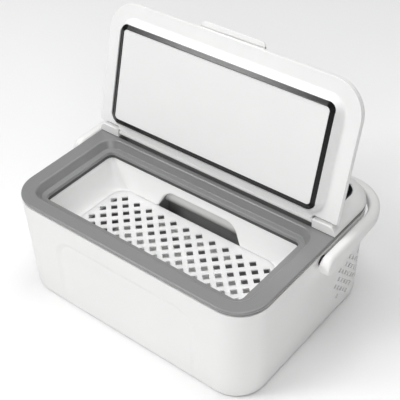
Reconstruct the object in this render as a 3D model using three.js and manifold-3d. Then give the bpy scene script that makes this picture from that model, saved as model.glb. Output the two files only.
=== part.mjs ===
// Insulin cooling case: a lidded chamber with a lift-out perforated tray in front, and
// a bay behind it, under a raised deck, that holds the cooler.
// Millimetres, +Z up, the front faces -Y. The lid stands open, as it rests on its stop.

import * as THREE from 'three';
import { mergeGeometries, mergeVertices } from 'three/addons/utils/BufferGeometryUtils.js';
import Module from 'manifold-3d';

const wasm = await Module();
wasm.setup();

// Sizes of the case
const CASE_WIDTH = 230;
const CASE_DEPTH = 168.3; // front face to the back of the deck
const RIM_TOP = 90; // ground to the rim's top face
const CORNER_RADIUS = 26;
const SIDE_LEAN = 2.8; // how far each side leans in towards its foot
const END_LEAN = 0.7; // the same on the front and the back
const WALL = 2.4;
const FIT = 0.3; // gap between pieces that sit against each other

// Sizes of the base
const FOOT_RADIUS = 8;
const FOOT_HEIGHT = 2.6;
const FOOT_SHOW = 1; // a foot stands this far out of the base
const FOOT_INSET_X = 24; // from the plinth's side to a foot's centre
const FOOT_INSET_Y = 20;
const PLINTH_HEIGHT = 3.6;
const PLINTH_STEP = 0.8; // the plinth sits this far inside the shell
const SCREW_RADIUS = 3;
const SCREW_HEIGHT = 1.8;
const SCREW_INSET_X = 52;
const SCREW_INSET_Y = 14;

// Sizes of the shallow panel on the front face
const PANEL_WIDTH = 132;
const PANEL_DROP = 22.5; // rim's top to the panel's upper edge
const PANEL_RADIUS = 16;
const PANEL_SINK = 1.2;

// Sizes of the rim
const RIM_BAND = 4; // height of the grey band on the outside
const RIM_EDGE = 1.2; // rounding of the outer top edge
const SIDE_LAND = 16; // outer face to the recess
const FRONT_LAND = 14.5;
const BACK_LAND = 6.3;
const RECESS_RADIUS = 10;
const RECESS_DROP = 6.5; // rim's top to the ledge that the gasket meets
const RECESS_SLOPE = 4; // width of the recess's sloping wall, in plan
const RECESS_EASE = 1.2; // rounding where that wall meets the rim's top
const LEDGE_WIDTH = 4.7;
const LEDGE_THICK = 2.5;
const LIP_DROP = 12; // rim's top to the end of the lip inside the mouth
const TROUGH_SET = 0.9; // front of the deck to the trough under the lid's barrel
const TROUGH_DROP = 7; // rim's top to the trough's floor

// Sizes of the chamber
const LINER_WALL = 2;
const TUB_LEAN = 4.9; // how far the tub's walls lean in, down to the tray's floor
const TUB_RADIUS = 9; // the tub's upright corners, at the tray's floor
const COVE_WIDTH = 8; // hollow curve from the tub's ends to the tray's floor
const COVE_RISE = 12.4;
const TRAY_DROP = 35.4; // rim's top to the tray's floor
const TRAY_THICK = 1.6;
const HOLE_STEP = 6.5; // across and along, between neighbouring holes
const HOLE_REACH = 3.5; // centre of a hole to its corner
const HOLE_MARGIN_X = 6;
const HOLE_MARGIN_Y = 9.8;
const SEAT_WIDTH = 4; // ledge in the tub that the tray rests on
const TUB_FLOOR = 24; // ground to the pan's floor
const MAT_INSET = 4; // foam mat on that floor, from the pan's walls
const MAT_THICK = 1.6;
const DUCT_WIDTH = 82; // recess in the tub's back wall, at the tray's floor
const DUCT_TOP_WIDTH = 66; // the same at its upper edge, before the corners are rounded
const DUCT_CORNER = 8; // corner to where its rounding starts
const DUCT_TOP_DROP = 20.4; // rim's top to the recess's upper edge
const DUCT_FOOT_DROP = 54; // rim's top to the recess's floor
const DUCT_DEPTH = 8; // behind the tub's back wall at the mouth

// Sizes of the deck and the hinge
const DECK_DEPTH = 62.5;
const DECK_RISE = 11; // deck's top above the rim's top
const DECK_SIDE = 1; // height of the deck's upright side above the rim's top
const SHOULDER_WIDTH = 15; // rounded shoulder, in plan
const DECK_ROOF = 3.6;
const EAR_WIDTH = 20;
const EAR_RISE = 8; // ears above the rim's top
const EAR_DEPTH = 12;
const HINGE_SETBACK = 3.3; // front face of the ears to the hinge axis
const HINGE_RISE = 4.9; // hinge axis above the rim's top
const BARREL_RADIUS = 2.6;
const PIN_RADIUS = 1.2;
const PIN_IN_EAR = 13;
const PIN_IN_LID = 14;
const NOTCH_PLAY = 0.9;

// Sizes of the control panel
const WINDOW_SIDE = 11; // deck's side to the panel's end
const WINDOW_BACK = 14; // deck's back to the panel's long edge
const WINDOW_DEPTH = 33;
const WINDOW_THICK = 2;
const WINDOW_RADIUS = 11;
const WINDOW_PROUD = 0.3;
const DISPLAY_WIDTH = 60;
const DISPLAY_DEPTH = 15;
const BOARD_WIDTH = 180;
const BOARD_DEPTH = 30;
const BOARD_THICK = 1.6;
const BOARD_DROP = 4; // deck's roof, inside, to the board
const BOSS_RADIUS = 3;
const BOSS_INSET = 5; // board's edges to the bosses that hold it
const KEY_RADIUS = 6;
const KEY_STEM = 2.5;
const KEY_PROUD = 0.6;
const KEY_TRAVEL = 1;
const KEY_FROM_END = { power: 28, set: 8 }; // board's right end to each key

// Sizes of the lid
const LID_OPEN = 105.8; // degrees from closed
const LID_GAP = 1.4; // lid's flange above the rim's top when closed
const LID_EDGE = 4; // upright edge of the lid
const LID_BACK = 5.2; // hinge axis to the lid's back edge
const LID_SHOULDER = 16;
const LID_SKIN = 2.2;
const PLUG_CLEAR = 0.6; // plug to the recess's wall
const GASKET_CLEAR = 1.2; // gasket to the recess's wall
const GASKET_WIDTH = 3.7;
const GASKET_THICK = 2.3;
const GASKET_PROUD = 0.5;
const GASKET_RADIUS = 7;
const LID_FOAM_TOP = 1.5; // above the hinge axis
const TAB_WIDTH = 62;
const TAB_REACH = 3.6;
const TAB_HANG = 2.5;

// Sizes of the handle
const HANDLE_GAP = 2.2;
const HANDLE_THICK = 8.5;
const HANDLE_EDGE = 3.2; // rounding of the bail's long edges
const HANDLE_BOSS = 16.8; // height of the round ends
const GRIP_HEIGHT = 11; // height of the bail behind the deck
const GRIP_DROP = 6.8; // rim's top to the middle of the grip
const PIVOT_DROP = 10; // rim's top to the pivot's axis
const PIVOT_FROM_BACK = 78; // back of the deck to the pivot's axis
const PIVOT_RADIUS = 4;
const PIVOT_REACH = 5; // pin's length inside the shell's outer face

// Sizes of the cooler
const SCREEN_THICK = 1.6; // pale screen over the upper part of the plate
const SCREEN_FOOT_DROP = 39; // rim's top to the screen's lower edge
const SCREEN_REACH = 7; // its pad, forward of the recess's back
const PAD_FOOT_DROP = 35.8; // rim's top to the pad's lower edge
const PAD_CURL = 5; // how far the pad's face rolls back into that edge
const PLATE_WIDTH = 92;
const PLATE_HEIGHT = 39;
const PLATE_THICK = 4;
const CHIP_SIZE = 40;
const CHIP_THICK = 3.8;
const SINK_WIDTH = 110;
const SINK_HEIGHT = 44;
const SINK_BASE = 5;
const FIN_LENGTH = 22;
const FIN_THICK = 1.6;
const FIN_COUNT = 8;
const FOAM_TOP_DROP = 15; // rim's top to the foam's upper face
const FAN_SIZE = 40;
const FAN_THICK = 10;
const FAN_HEIGHT = 32; // ground to the fan's axis
const FAN_FROM_BACK = 33.5; // back of the deck to the fan's axis
const FAN_TIP = 17.6;
const FAN_TIP_GAP = 0.9;
const FAN_HUB = 8.5;
const FAN_BLADES = 7;
const BLADE_THICK = 1.2;
const BLADE_PITCH = 38; // degrees
const VENT_RADIUS = 19.5;
const VENT_STEP = 4.6;
const VENT_REACH = 2.1;
const INLET_OFFSET = 75; // middle of the back to the power inlet
const INLET_HEIGHT = 24;
const INLET_RADIUS = 6;
const INLET_BORE = 3;
const INLET_PIN = 1;
const INLET_LENGTH = 14;
const INLET_FLANGE = 8;
const INLET_FLANGE_THICK = 1.5;

// Worked out from the sizes above
const HALF_WIDTH = CASE_WIDTH / 2;
const HANDLE_REACH = HANDLE_GAP + HANDLE_THICK;
const FRONT = -(CASE_DEPTH + HANDLE_REACH) / 2;
const BACK = FRONT + CASE_DEPTH;
const DECK_FRONT = BACK - DECK_DEPTH;
const DECK_TOP = RIM_TOP + DECK_RISE;
const SHELL_TOP = RIM_TOP - RIM_BAND - FIT;
const PLINTH_TOP = FOOT_SHOW + PLINTH_HEIGHT;
const SHELL_FOOT = PLINTH_TOP + FIT;
const LEDGE_TOP = RIM_TOP - RECESS_DROP;
const LIP_FOOT = RIM_TOP - LIP_DROP;
const TUB_TOP = LIP_FOOT - FIT;
const TRAY_FLOOR = RIM_TOP - TRAY_DROP;
const TRAY_FOOT = TRAY_FLOOR - TRAY_THICK;
const SEAT_TOP = TRAY_FOOT - FIT;
const PAN_TOP = SEAT_TOP - LINER_WALL - FIT;
const HINGE_Y = DECK_FRONT + HINGE_SETBACK;
const HINGE_Z = RIM_TOP + HINGE_RISE;
const EAR_INNER = HALF_WIDTH - EAR_WIDTH;
const PIVOT_Y = BACK - PIVOT_FROM_BACK;
const PIVOT_Z = RIM_TOP - PIVOT_DROP;
const FAN_Y = BACK - FAN_FROM_BACK;
const ARC_STEPS = 6; // straight runs that stand for a quarter circle
const SHARP = 0.4; // least corner radius
const CLEAR = 1; // a cutter passes this far beyond what it cuts

// Materials
const paint = (color, roughness, metalness = 0) =>
  new THREE.MeshStandardMaterial({ color, roughness, metalness });
const WHITE = paint(0xeaeaea, 0.42);
const GREY = paint(0x8f8f8f, 0.35);
const BLACK_RUBBER = paint(0x222222, 0.45);
const DARK_GLASS = paint(0x2a2a2a, 0.12);
const FOAM = paint(0xececea, 0.95);
const BARE_ALUMINIUM = paint(0xc4c6c8, 0.38, 1);
const STEEL = paint(0xb8babc, 0.3, 1);
const BOARD_GREEN = paint(0x1d5a3a, 0.6);
const DARK_PLASTIC = paint(0x262626, 0.55);
const CERAMIC = paint(0xe6e2da, 0.7);

// Turns a closed geometry into a solid that can be joined and cut
function solid(geometry) {
  const bare = geometry.clone();
  bare.deleteAttribute('normal');
  bare.deleteAttribute('uv');
  const merged = mergeVertices(bare, 1e-4);
  return new wasm.Manifold(
    new wasm.Mesh({
      numProp: 3,
      vertProperties: new Float32Array(merged.attributes.position.array),
      triVerts: new Uint32Array(merged.index.array),
    }),
  );
}

const join = (first, ...rest) => rest.reduce((sum, next) => sum.add(next), first);
const cut = (first, ...tools) => tools.reduce((left, tool) => left.subtract(tool), first);

// A named mesh of one sub-part
function piece(name, body, material) {
  const found = body.getMesh();
  const geometry = new THREE.BufferGeometry();
  geometry.setAttribute('position', new THREE.BufferAttribute(found.vertProperties, 3));
  geometry.setIndex(new THREE.BufferAttribute(found.triVerts, 1));
  geometry.computeVertexNormals();
  const mesh = new THREE.Mesh(geometry, material);
  mesh.name = name;
  return mesh;
}

// A plan is a rectangle with rounded corners, seen from above
function plan(x0, x1, y0, y1, frontRadius, backRadius = frontRadius) {
  return { x0, x1, y0, y1, frontRadius, backRadius };
}

// The plan drawn in on every side, or let out where the amounts are negative
function drawnIn(p, dx, dy = dx) {
  const less = Math.min(dx, dy);
  return plan(
    p.x0 + dx,
    p.x1 - dx,
    p.y0 + dy,
    p.y1 - dy,
    Math.max(p.frontRadius - less, SHARP),
    Math.max(p.backRadius - less, SHARP),
  );
}

// Points round a plan, anticlockwise from its front right corner
function outline(p) {
  const corners = [
    [p.x1 - p.frontRadius, p.y0 + p.frontRadius, p.frontRadius],
    [p.x1 - p.backRadius, p.y1 - p.backRadius, p.backRadius],
    [p.x0 + p.backRadius, p.y1 - p.backRadius, p.backRadius],
    [p.x0 + p.frontRadius, p.y0 + p.frontRadius, p.frontRadius],
  ];
  return corners.flatMap(([x, y, radius], quarter) => {
    const start = ((quarter - 1) * Math.PI) / 2;
    return new THREE.Path().absarc(x, y, radius, start, start + Math.PI / 2).getPoints(ARC_STEPS);
  });
}

// A solid skinned over rings of points, each going anticlockwise as seen from the last one
function skinned(rings) {
  const count = rings[0].length;
  const top = (rings.length - 1) * count;
  const faces = [];
  for (let ring = 0; ring < rings.length - 1; ring += 1) {
    for (let i = 0; i < count; i += 1) {
      const a = ring * count + i;
      const b = ring * count + ((i + 1) % count);
      faces.push(a, b, b + count, a, b + count, a + count);
    }
  }
  for (let i = 1; i < count - 1; i += 1) {
    faces.push(0, i + 1, i, top, top + i, top + i + 1);
  }
  const geometry = new THREE.BufferGeometry();
  geometry.setAttribute('position', new THREE.Float32BufferAttribute(rings.flat(2), 3));
  geometry.setIndex(faces);
  return solid(geometry);
}

// A solid skinned over plans at rising heights, each level being [z, plan]
const loft = (levels) => skinned(levels.map(([z, p]) => outline(p).map(({ x, y }) => [x, y, z])));

// Levels of a rounded shoulder: upright at its foot, flat at its top
function shoulder(p, footZ, rise, width, steps = 4) {
  return Array.from({ length: steps + 1 }, (_, k) => {
    const turn = (k / steps) * (Math.PI / 2);
    return [footZ + rise * Math.sin(turn), drawnIn(p, width * (1 - Math.cos(turn)))];
  });
}

// Levels of a wall that slopes outwards as it rises, eased into a flat at its top
const slope = (p, footZ, rise, width, ease) => [
  [footZ, p],
  [footZ + rise - ease, drawnIn(p, ease - width)],
  [footZ + rise - ease * 0.3, drawnIn(p, ease * 0.45 - width)],
  [footZ + rise, drawnIn(p, -ease * 0.4 - width)],
];

const slab = (p, z0, z1) => loft([[z0, p], [z1, p]]);

function box(x0, x1, y0, y1, z0, z1) {
  const geometry = new THREE.BoxGeometry(x1 - x0, y1 - y0, z1 - z0);
  geometry.translate((x0 + x1) / 2, (y0 + y1) / 2, (z0 + z1) / 2);
  return solid(geometry);
}

// Round rods along X, Y and Z
const ROUND = 24;
function rodGeometry(axis, radius, from, to, a, b, sides = ROUND) {
  const geometry = new THREE.CylinderGeometry(radius, radius, to - from, sides);
  const middle = (from + to) / 2;
  if (axis === 'x') return geometry.rotateZ(-Math.PI / 2).translate(middle, a, b);
  if (axis === 'y') return geometry.translate(a, middle, b);
  return geometry.rotateX(Math.PI / 2).translate(a, b, middle);
}
const rod = (...sizes) => solid(rodGeometry(...sizes));

// A shape drawn in X and Z, carried along Y
function alongY(shape, y0, y1) {
  const geometry = new THREE.ExtrudeGeometry(shape, {
    depth: y1 - y0,
    bevelEnabled: false,
    curveSegments: ARC_STEPS,
  });
  return solid(geometry.rotateX(Math.PI / 2).translate(0, y1, 0));
}

// A shape drawn in Y and Z, carried along X
function alongX(shape, x0, x1) {
  const geometry = new THREE.ExtrudeGeometry(shape, {
    depth: x1 - x0,
    bevelEnabled: false,
    curveSegments: ARC_STEPS,
  });
  const turn = new THREE.Matrix4().set(0, 0, 1, x0, 1, 0, 0, 0, 0, 1, 0, 0, 0, 0, 0, 1);
  return solid(geometry.applyMatrix4(turn));
}

// Square holes turned on their corners, as one cutter
function diamonds(axis, reach, from, to, places) {
  return solid(
    mergeGeometries(places.map(([a, b]) => rodGeometry(axis, reach, from, to, a, b, 4))),
  );
}

// The case's outside at a height: full size at the rim, leaning in to the foot
const casePlan = plan(-HALF_WIDTH, HALF_WIDTH, FRONT, BACK, CORNER_RADIUS);
function casePlanAt(z) {
  const share = (SHELL_TOP - z) / (SHELL_TOP - SHELL_FOOT);
  const leaned = drawnIn(casePlan, SIDE_LEAN * share, END_LEAN * share);
  return { ...leaned, frontRadius: CORNER_RADIUS, backRadius: CORNER_RADIUS };
}
const plinthPlan = drawnIn(casePlanAt(SHELL_FOOT), PLINTH_STEP);

// The recess that the lid's plug drops into, at its ledge
const recessPlan = plan(
  -HALF_WIDTH + SIDE_LAND,
  HALF_WIDTH - SIDE_LAND,
  FRONT + FRONT_LAND,
  DECK_FRONT - BACK_LAND,
  RECESS_RADIUS,
);
const mouthPlan = drawnIn(recessPlan, LEDGE_WIDTH);

// The tub's inside at a height, above the tray: its walls lean in and its corners grow rounder
function tubPlanAt(z) {
  const share = (TUB_TOP - z) / (TUB_TOP - TRAY_FLOOR);
  const radius = mouthPlan.backRadius + (TUB_RADIUS - mouthPlan.backRadius) * share;
  return { ...drawnIn(mouthPlan, TUB_LEAN * share), frontRadius: radius, backRadius: radius };
}
const pocketPlan = drawnIn(tubPlanAt(TRAY_FLOOR), COVE_WIDTH, 0);
const trayPlan = drawnIn(pocketPlan, FIT);
const wellPlan = drawnIn(pocketPlan, SEAT_WIDTH);
const DUCT_BACK = mouthPlan.y1 + DUCT_DEPTH;
const SCREEN_BACK = DUCT_BACK + FIT + SCREEN_THICK;
const PLATE_BACK = SCREEN_BACK + FIT + PLATE_THICK;
const CHIP_BACK = PLATE_BACK + FIT + CHIP_THICK;
const BAY_FRONT = CHIP_BACK + FIT;
const COOLER_Z = RIM_TOP - (DUCT_TOP_DROP + DUCT_FOOT_DROP) / 2;

// The room under the deck, and the back of the notch that the lid's barrel turns in
const bayPlan = {
  ...drawnIn(casePlan, WALL),
  y0: DECK_FRONT + EAR_DEPTH,
  frontRadius: SHARP,
};
const NOTCH_BACK = HINGE_Y + BARREL_RADIUS + NOTCH_PLAY;

// The fan stands behind the right side's vents, clear of the shell's rounded back corner
function shellInside(y, z) {
  const p = drawnIn(casePlanAt(z), WALL + FIT);
  const past = Math.max(y - (p.y1 - p.backRadius), 0);
  return p.x1 - p.backRadius + Math.sqrt(p.backRadius ** 2 - past ** 2);
}
const fanOuter = shellInside(FAN_Y + FAN_SIZE / 2, 0) - FIT;
const fanPlace = { inner: fanOuter - FAN_THICK, outer: fanOuter };

// Feet and base screws: one at each corner of the base
const corners = (insetX, insetY) =>
  ['front', 'back'].flatMap((end) =>
    ['left', 'right'].map((side) => ({
      name: `${end}_${side}`,
      x: side === 'left' ? plinthPlan.x0 + insetX : plinthPlan.x1 - insetX,
      y: end === 'front' ? plinthPlan.y0 + insetY : plinthPlan.y1 - insetY,
    })),
  );
const feet = corners(FOOT_INSET_X, FOOT_INSET_Y);
const screws = corners(SCREW_INSET_X, SCREW_INSET_Y);

function baseCover() {
  const footPockets = feet.map(({ x, y }) =>
    rod('z', FOOT_RADIUS + FIT, FOOT_SHOW - CLEAR, FOOT_HEIGHT + FIT, x, y),
  );
  const screwPockets = screws.map(({ x, y }) =>
    rod('z', SCREW_RADIUS + FIT, FOOT_SHOW - CLEAR, FOOT_SHOW + FIT + SCREW_HEIGHT + FIT, x, y),
  );
  const fanRest = box(
    fanPlace.inner,
    fanPlace.outer,
    FAN_Y - FAN_SIZE / 4,
    FAN_Y + FAN_SIZE / 4,
    PLINTH_TOP - FIT,
    FAN_HEIGHT - FAN_SIZE / 2 - FIT,
  );
  const plate = slab(plinthPlan, FOOT_SHOW, PLINTH_TOP);
  return piece('base_cover', cut(join(plate, fanRest), ...footPockets, ...screwPockets), WHITE);
}

const rubberFeet = () =>
  feet.map(({ name, x, y }) =>
    piece(`foot_${name}`, rod('z', FOOT_RADIUS, 0, FOOT_HEIGHT, x, y), BLACK_RUBBER),
  );

const baseScrews = () =>
  screws.map(({ name, x, y }) => {
    const foot = FOOT_SHOW + FIT;
    const slot = box(x - SCREW_RADIUS, x + SCREW_RADIUS, y - FIT, y + FIT, foot - CLEAR, foot + CLEAR);
    const head = cut(rod('z', SCREW_RADIUS, foot, foot + SCREW_HEIGHT, x, y), slot);
    return piece(`base_screw_${name}`, head, STEEL);
  });

// The shallow panel on the front, an arch that runs out at the foot
function frontPanel() {
  const half = PANEL_WIDTH / 2;
  const top = RIM_TOP - PANEL_DROP;
  const shape = new THREE.Shape();
  shape.moveTo(-half, 0);
  shape.lineTo(half, 0);
  shape.lineTo(half, top - PANEL_RADIUS);
  shape.absarc(half - PANEL_RADIUS, top - PANEL_RADIUS, PANEL_RADIUS, 0, Math.PI / 2);
  shape.absarc(PANEL_RADIUS - half, top - PANEL_RADIUS, PANEL_RADIUS, Math.PI / 2, Math.PI);
  return alongY(shape, FRONT - CLEAR, FRONT + PANEL_SINK);
}

// Vent holes over a round patch in front of the fan
function ventPlaces() {
  const reach = Math.floor(VENT_RADIUS / VENT_STEP);
  const places = [];
  for (let row = -reach; row <= reach; row += 1) {
    for (let column = -reach; column <= reach; column += 1) {
      const inside = Math.hypot(row, column) * VENT_STEP <= VENT_RADIUS;
      if (inside && (row + column) % 2 === 0) {
        places.push([FAN_Y + column * VENT_STEP, FAN_HEIGHT + row * VENT_STEP]);
      }
    }
  }
  return places;
}

function housingShell() {
  const outside = loft([
    [SHELL_FOOT, casePlanAt(SHELL_FOOT)],
    [SHELL_TOP, casePlanAt(SHELL_TOP)],
  ]);
  const inside = loft([
    [SHELL_FOOT - CLEAR, drawnIn(casePlanAt(SHELL_FOOT - CLEAR), WALL)],
    [SHELL_TOP + CLEAR, drawnIn(casePlanAt(SHELL_TOP + CLEAR), WALL)],
  ]);
  const reach = HALF_WIDTH + CLEAR;
  const vents = diamonds('x', VENT_REACH, -reach, reach, ventPlaces());
  const pivots = rod('x', PIVOT_RADIUS + FIT, -reach, reach, PIVOT_Y, PIVOT_Z);
  const inletFrom = BACK - WALL * 3;
  const inletRadius = INLET_RADIUS + FIT;
  const inlet = rod('y', inletRadius, inletFrom, BACK + CLEAR, -INLET_OFFSET, INLET_HEIGHT);
  const tools = [inside, frontPanel(), vents, pivots, inlet];
  return piece('housing_shell', cut(outside, ...tools), WHITE);
}

// The trough behind the rim that the lid's barrel turns over
const troughBox = (wall, z1) =>
  box(
    -EAR_INNER - wall,
    EAR_INNER + wall,
    DECK_FRONT + TROUGH_SET - wall,
    NOTCH_BACK + wall,
    RIM_TOP - TROUGH_DROP - wall,
    z1,
  );

function rimFrame() {
  const foot = RIM_TOP - RIM_BAND;
  const band = loft([
    [foot, casePlan],
    [RIM_TOP - RIM_EDGE, casePlan],
    [RIM_TOP - RIM_EDGE * 0.3, drawnIn(casePlan, RIM_EDGE * 0.3)],
    [RIM_TOP, drawnIn(casePlan, RIM_EDGE)],
  ]);
  const collar = slab(drawnIn(recessPlan, -LEDGE_THICK), LEDGE_TOP - LEDGE_THICK, foot + CLEAR);
  const lip = slab(drawnIn(mouthPlan, -LEDGE_THICK), LIP_FOOT, LEDGE_TOP);
  const mouth = slab(mouthPlan, LIP_FOOT - CLEAR, RIM_TOP + CLEAR);
  const wall = slope(recessPlan, LEDGE_TOP, RECESS_DROP, RECESS_SLOPE, RECESS_EASE);
  const recess = loft([...wall, [RIM_TOP + CLEAR, wall[wall.length - 1][1]]]);
  const bay = slab(bayPlan, foot - CLEAR, RIM_TOP + CLEAR);
  const whole = join(band, collar, lip, troughBox(LINER_WALL, foot + CLEAR));
  return piece('rim_frame', cut(whole, mouth, recess, bay, troughBox(0, RIM_TOP + CLEAR)), GREY);
}

// The recess in the tub's back wall: straight foot, leaning sides and rounded top corners
function ductShape(extra) {
  const half = DUCT_WIDTH / 2 + extra;
  const topHalf = DUCT_TOP_WIDTH / 2 + extra;
  const top = RIM_TOP - DUCT_TOP_DROP + extra;
  const foot = RIM_TOP - DUCT_FOOT_DROP - extra;
  const share = DUCT_CORNER / Math.hypot(half - topHalf, top - TRAY_FLOOR);
  const sideX = topHalf + (half - topHalf) * share;
  const sideZ = top - (top - TRAY_FLOOR) * share;
  const shape = new THREE.Shape();
  shape.moveTo(-half, foot);
  shape.lineTo(half, foot);
  shape.lineTo(half, TRAY_FLOOR);
  shape.lineTo(sideX, sideZ);
  shape.quadraticCurveTo(topHalf, top, topHalf - DUCT_CORNER, top);
  shape.lineTo(DUCT_CORNER - topHalf, top);
  shape.quadraticCurveTo(-topHalf, top, -sideX, sideZ);
  shape.lineTo(-half, TRAY_FLOOR);
  return shape;
}

// Outsides of the tub and of the pan under it, let out by a gap where the foam meets them
function tubOutside(gap) {
  const out = -(LINER_WALL + gap);
  return join(
    loft([
      [SEAT_TOP - LINER_WALL - gap, drawnIn(tubPlanAt(SEAT_TOP), out)],
      [TUB_TOP, drawnIn(tubPlanAt(TUB_TOP), out)],
    ]),
    alongY(ductShape(LINER_WALL + gap), wellPlan.y1, DUCT_BACK),
  );
}
const panOutside = (gap, top) =>
  slab(drawnIn(wellPlan, -LINER_WALL - gap), TUB_FLOOR - LINER_WALL - gap, top);

// The hollow above the tray's seat: a straight pocket, coved ends, then the leaning walls
function chamberLevels() {
  const steps = 5;
  const cove = Array.from({ length: steps + 1 }, (_, k) => {
    const turn = (k / steps) * (Math.PI / 2);
    const z = TRAY_FLOOR + COVE_RISE * (1 - Math.cos(turn));
    return [z, drawnIn(tubPlanAt(z), COVE_WIDTH * (1 - Math.sin(turn)), 0)];
  });
  const top = TUB_TOP + CLEAR;
  return [[SEAT_TOP, pocketPlan], ...cove, [top, tubPlanAt(top)]];
}

function linerTub() {
  const well = slab(wellPlan, PAN_TOP - CLEAR, TUB_TOP);
  const duct = alongY(ductShape(0), wellPlan.y1 - CLEAR, DUCT_BACK + CLEAR);
  return piece('liner_tub', cut(tubOutside(0), loft(chamberLevels()), well, duct), WHITE);
}

// The pan hangs under the tub's seat, with a gap in its back wall round the recess
function wellPan() {
  const well = slab(wellPlan, TUB_FLOOR, PAN_TOP + CLEAR);
  const backWall = wellPlan.y1 + LINER_WALL + CLEAR;
  const recess = alongY(ductShape(LINER_WALL + FIT), wellPlan.y1 - CLEAR, backWall);
  return piece('well_pan', cut(panOutside(0, PAN_TOP), well, recess), GREY);
}

function wellMat() {
  const foot = TUB_FLOOR + FIT;
  return piece('well_mat', slab(drawnIn(wellPlan, MAT_INSET), foot, foot + MAT_THICK), FOAM);
}

function foamJacket() {
  const top = RIM_TOP - FOAM_TOP_DROP;
  const level = (z) => [z, { ...drawnIn(casePlanAt(z), WALL + FIT), y1: BAY_FRONT, backRadius: SHARP }];
  const block = loft([level(PLINTH_TOP + FIT), level(top)]);
  const mouth = slab(drawnIn(tubPlanAt(TUB_TOP), -LINER_WALL - FIT), top - CLEAR, top + CLEAR);
  const half = PLATE_WIDTH / 2 + FIT;
  const tall = PLATE_HEIGHT / 2 + FIT;
  const plateRoom = box(
    -half,
    half,
    DUCT_BACK - FIT,
    BAY_FRONT + CLEAR,
    COOLER_Z - tall,
    COOLER_Z + tall,
  );
  const tools = [tubOutside(FIT), panOutside(FIT, SEAT_TOP), mouth, plateRoom];
  return piece('foam_jacket', cut(block, ...tools), FOAM);
}

// The lift-out tray: a perforated plate
function trayPiece() {
  const columns = Math.floor((trayPlan.x1 - trayPlan.x0 - 2 * HOLE_MARGIN_X) / HOLE_STEP);
  const rows = Math.floor((trayPlan.y1 - trayPlan.y0 - 2 * HOLE_MARGIN_Y) / HOLE_STEP);
  const places = [];
  for (let row = 0; row <= rows; row += 1) {
    for (let column = 0; column <= columns; column += 1) {
      if ((row + column) % 2 === 1) {
        places.push([
          (column - columns / 2) * HOLE_STEP,
          trayPlan.y1 - HOLE_MARGIN_Y - row * HOLE_STEP,
        ]);
      }
    }
  }
  const holes = diamonds('z', HOLE_REACH, TRAY_FOOT - CLEAR, TRAY_FLOOR + CLEAR, places);
  return piece('tray', cut(slab(trayPlan, TRAY_FOOT, TRAY_FLOOR), holes), WHITE);
}

// The deck: rounded shoulders, ears at the ends of its front and a notch between them
const windowPlan = plan(
  -HALF_WIDTH + WINDOW_SIDE,
  HALF_WIDTH - WINDOW_SIDE,
  BACK - WINDOW_BACK - WINDOW_DEPTH,
  BACK - WINDOW_BACK,
  WINDOW_RADIUS,
);
const windowFoot = DECK_TOP + WINDOW_PROUD - WINDOW_THICK;
const roofInside = DECK_TOP - DECK_ROOF;
const panelMiddle = (windowPlan.y0 + windowPlan.y1) / 2;
const boardTop = roofInside - BOARD_DROP;
const displayBox = (gap, z0, z1) =>
  box(
    -DISPLAY_WIDTH / 2 - gap,
    DISPLAY_WIDTH / 2 + gap,
    panelMiddle - DISPLAY_DEPTH / 2 - gap,
    panelMiddle + DISPLAY_DEPTH / 2 + gap,
    z0,
    z1,
  );
const keyX = (name) => BOARD_WIDTH / 2 - KEY_FROM_END[name];
const keyHoles = (z0, z1) =>
  Object.keys(KEY_FROM_END).map((name) =>
    rod('z', KEY_RADIUS + FIT, z0, z1, keyX(name), panelMiddle),
  );

function boardBosses() {
  const x = BOARD_WIDTH / 2 - BOSS_INSET;
  const y = BOARD_DEPTH / 2 - BOSS_INSET;
  return [[-x, -y], [x, -y], [-x, y], [x, y]].map(([bossX, bossY]) =>
    rod('z', BOSS_RADIUS, boardTop + FIT, roofInside + CLEAR, bossX, panelMiddle + bossY, 12),
  );
}

function deckCover() {
  const p = { ...casePlan, y0: DECK_FRONT - SHOULDER_WIDTH, frontRadius: SHARP };
  const side = RIM_TOP + DECK_SIDE;
  const above = DECK_TOP + CLEAR;
  const block = loft([
    [RIM_TOP + FIT, p],
    ...shoulder(p, side, DECK_RISE - DECK_SIDE, SHOULDER_WIDTH),
  ]);
  const hollow = loft([
    [RIM_TOP - CLEAR, bayPlan],
    ...shoulder(bayPlan, side, roofInside - side, SHOULDER_WIDTH),
  ]);
  const far = HALF_WIDTH + CLEAR;
  const earBack = DECK_FRONT + EAR_DEPTH;
  const ahead = box(-far, far, p.y0 - CLEAR, DECK_FRONT, RIM_TOP, above);
  const overEars = box(-far, far, DECK_FRONT - CLEAR, earBack, RIM_TOP + EAR_RISE, above);
  const notch = box(-EAR_INNER, EAR_INNER, DECK_FRONT - CLEAR, NOTCH_BACK, RIM_TOP, above);
  const pinReach = EAR_INNER + PIN_IN_EAR + FIT;
  const pinBore = rod('x', PIN_RADIUS + FIT, -pinReach, pinReach, HINGE_Y, HINGE_Z);
  const windowPocket = slab(drawnIn(windowPlan, -FIT), windowFoot - FIT, above);
  const displayHole = displayBox(FIT, roofInside - CLEAR, DECK_TOP);
  const hollowed = join(cut(block, hollow), ...boardBosses());
  const holes = keyHoles(roofInside - CLEAR, DECK_TOP);
  const tools = [ahead, overEars, notch, pinBore, windowPocket, displayHole, ...holes];
  return piece('deck_cover', cut(hollowed, ...tools), WHITE);
}

function panelWindow() {
  const glass = slab(windowPlan, windowFoot, DECK_TOP + WINDOW_PROUD);
  const holes = keyHoles(windowFoot - CLEAR, DECK_TOP + CLEAR);
  return piece('panel_window', cut(glass, ...holes), DARK_GLASS);
}

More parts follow.
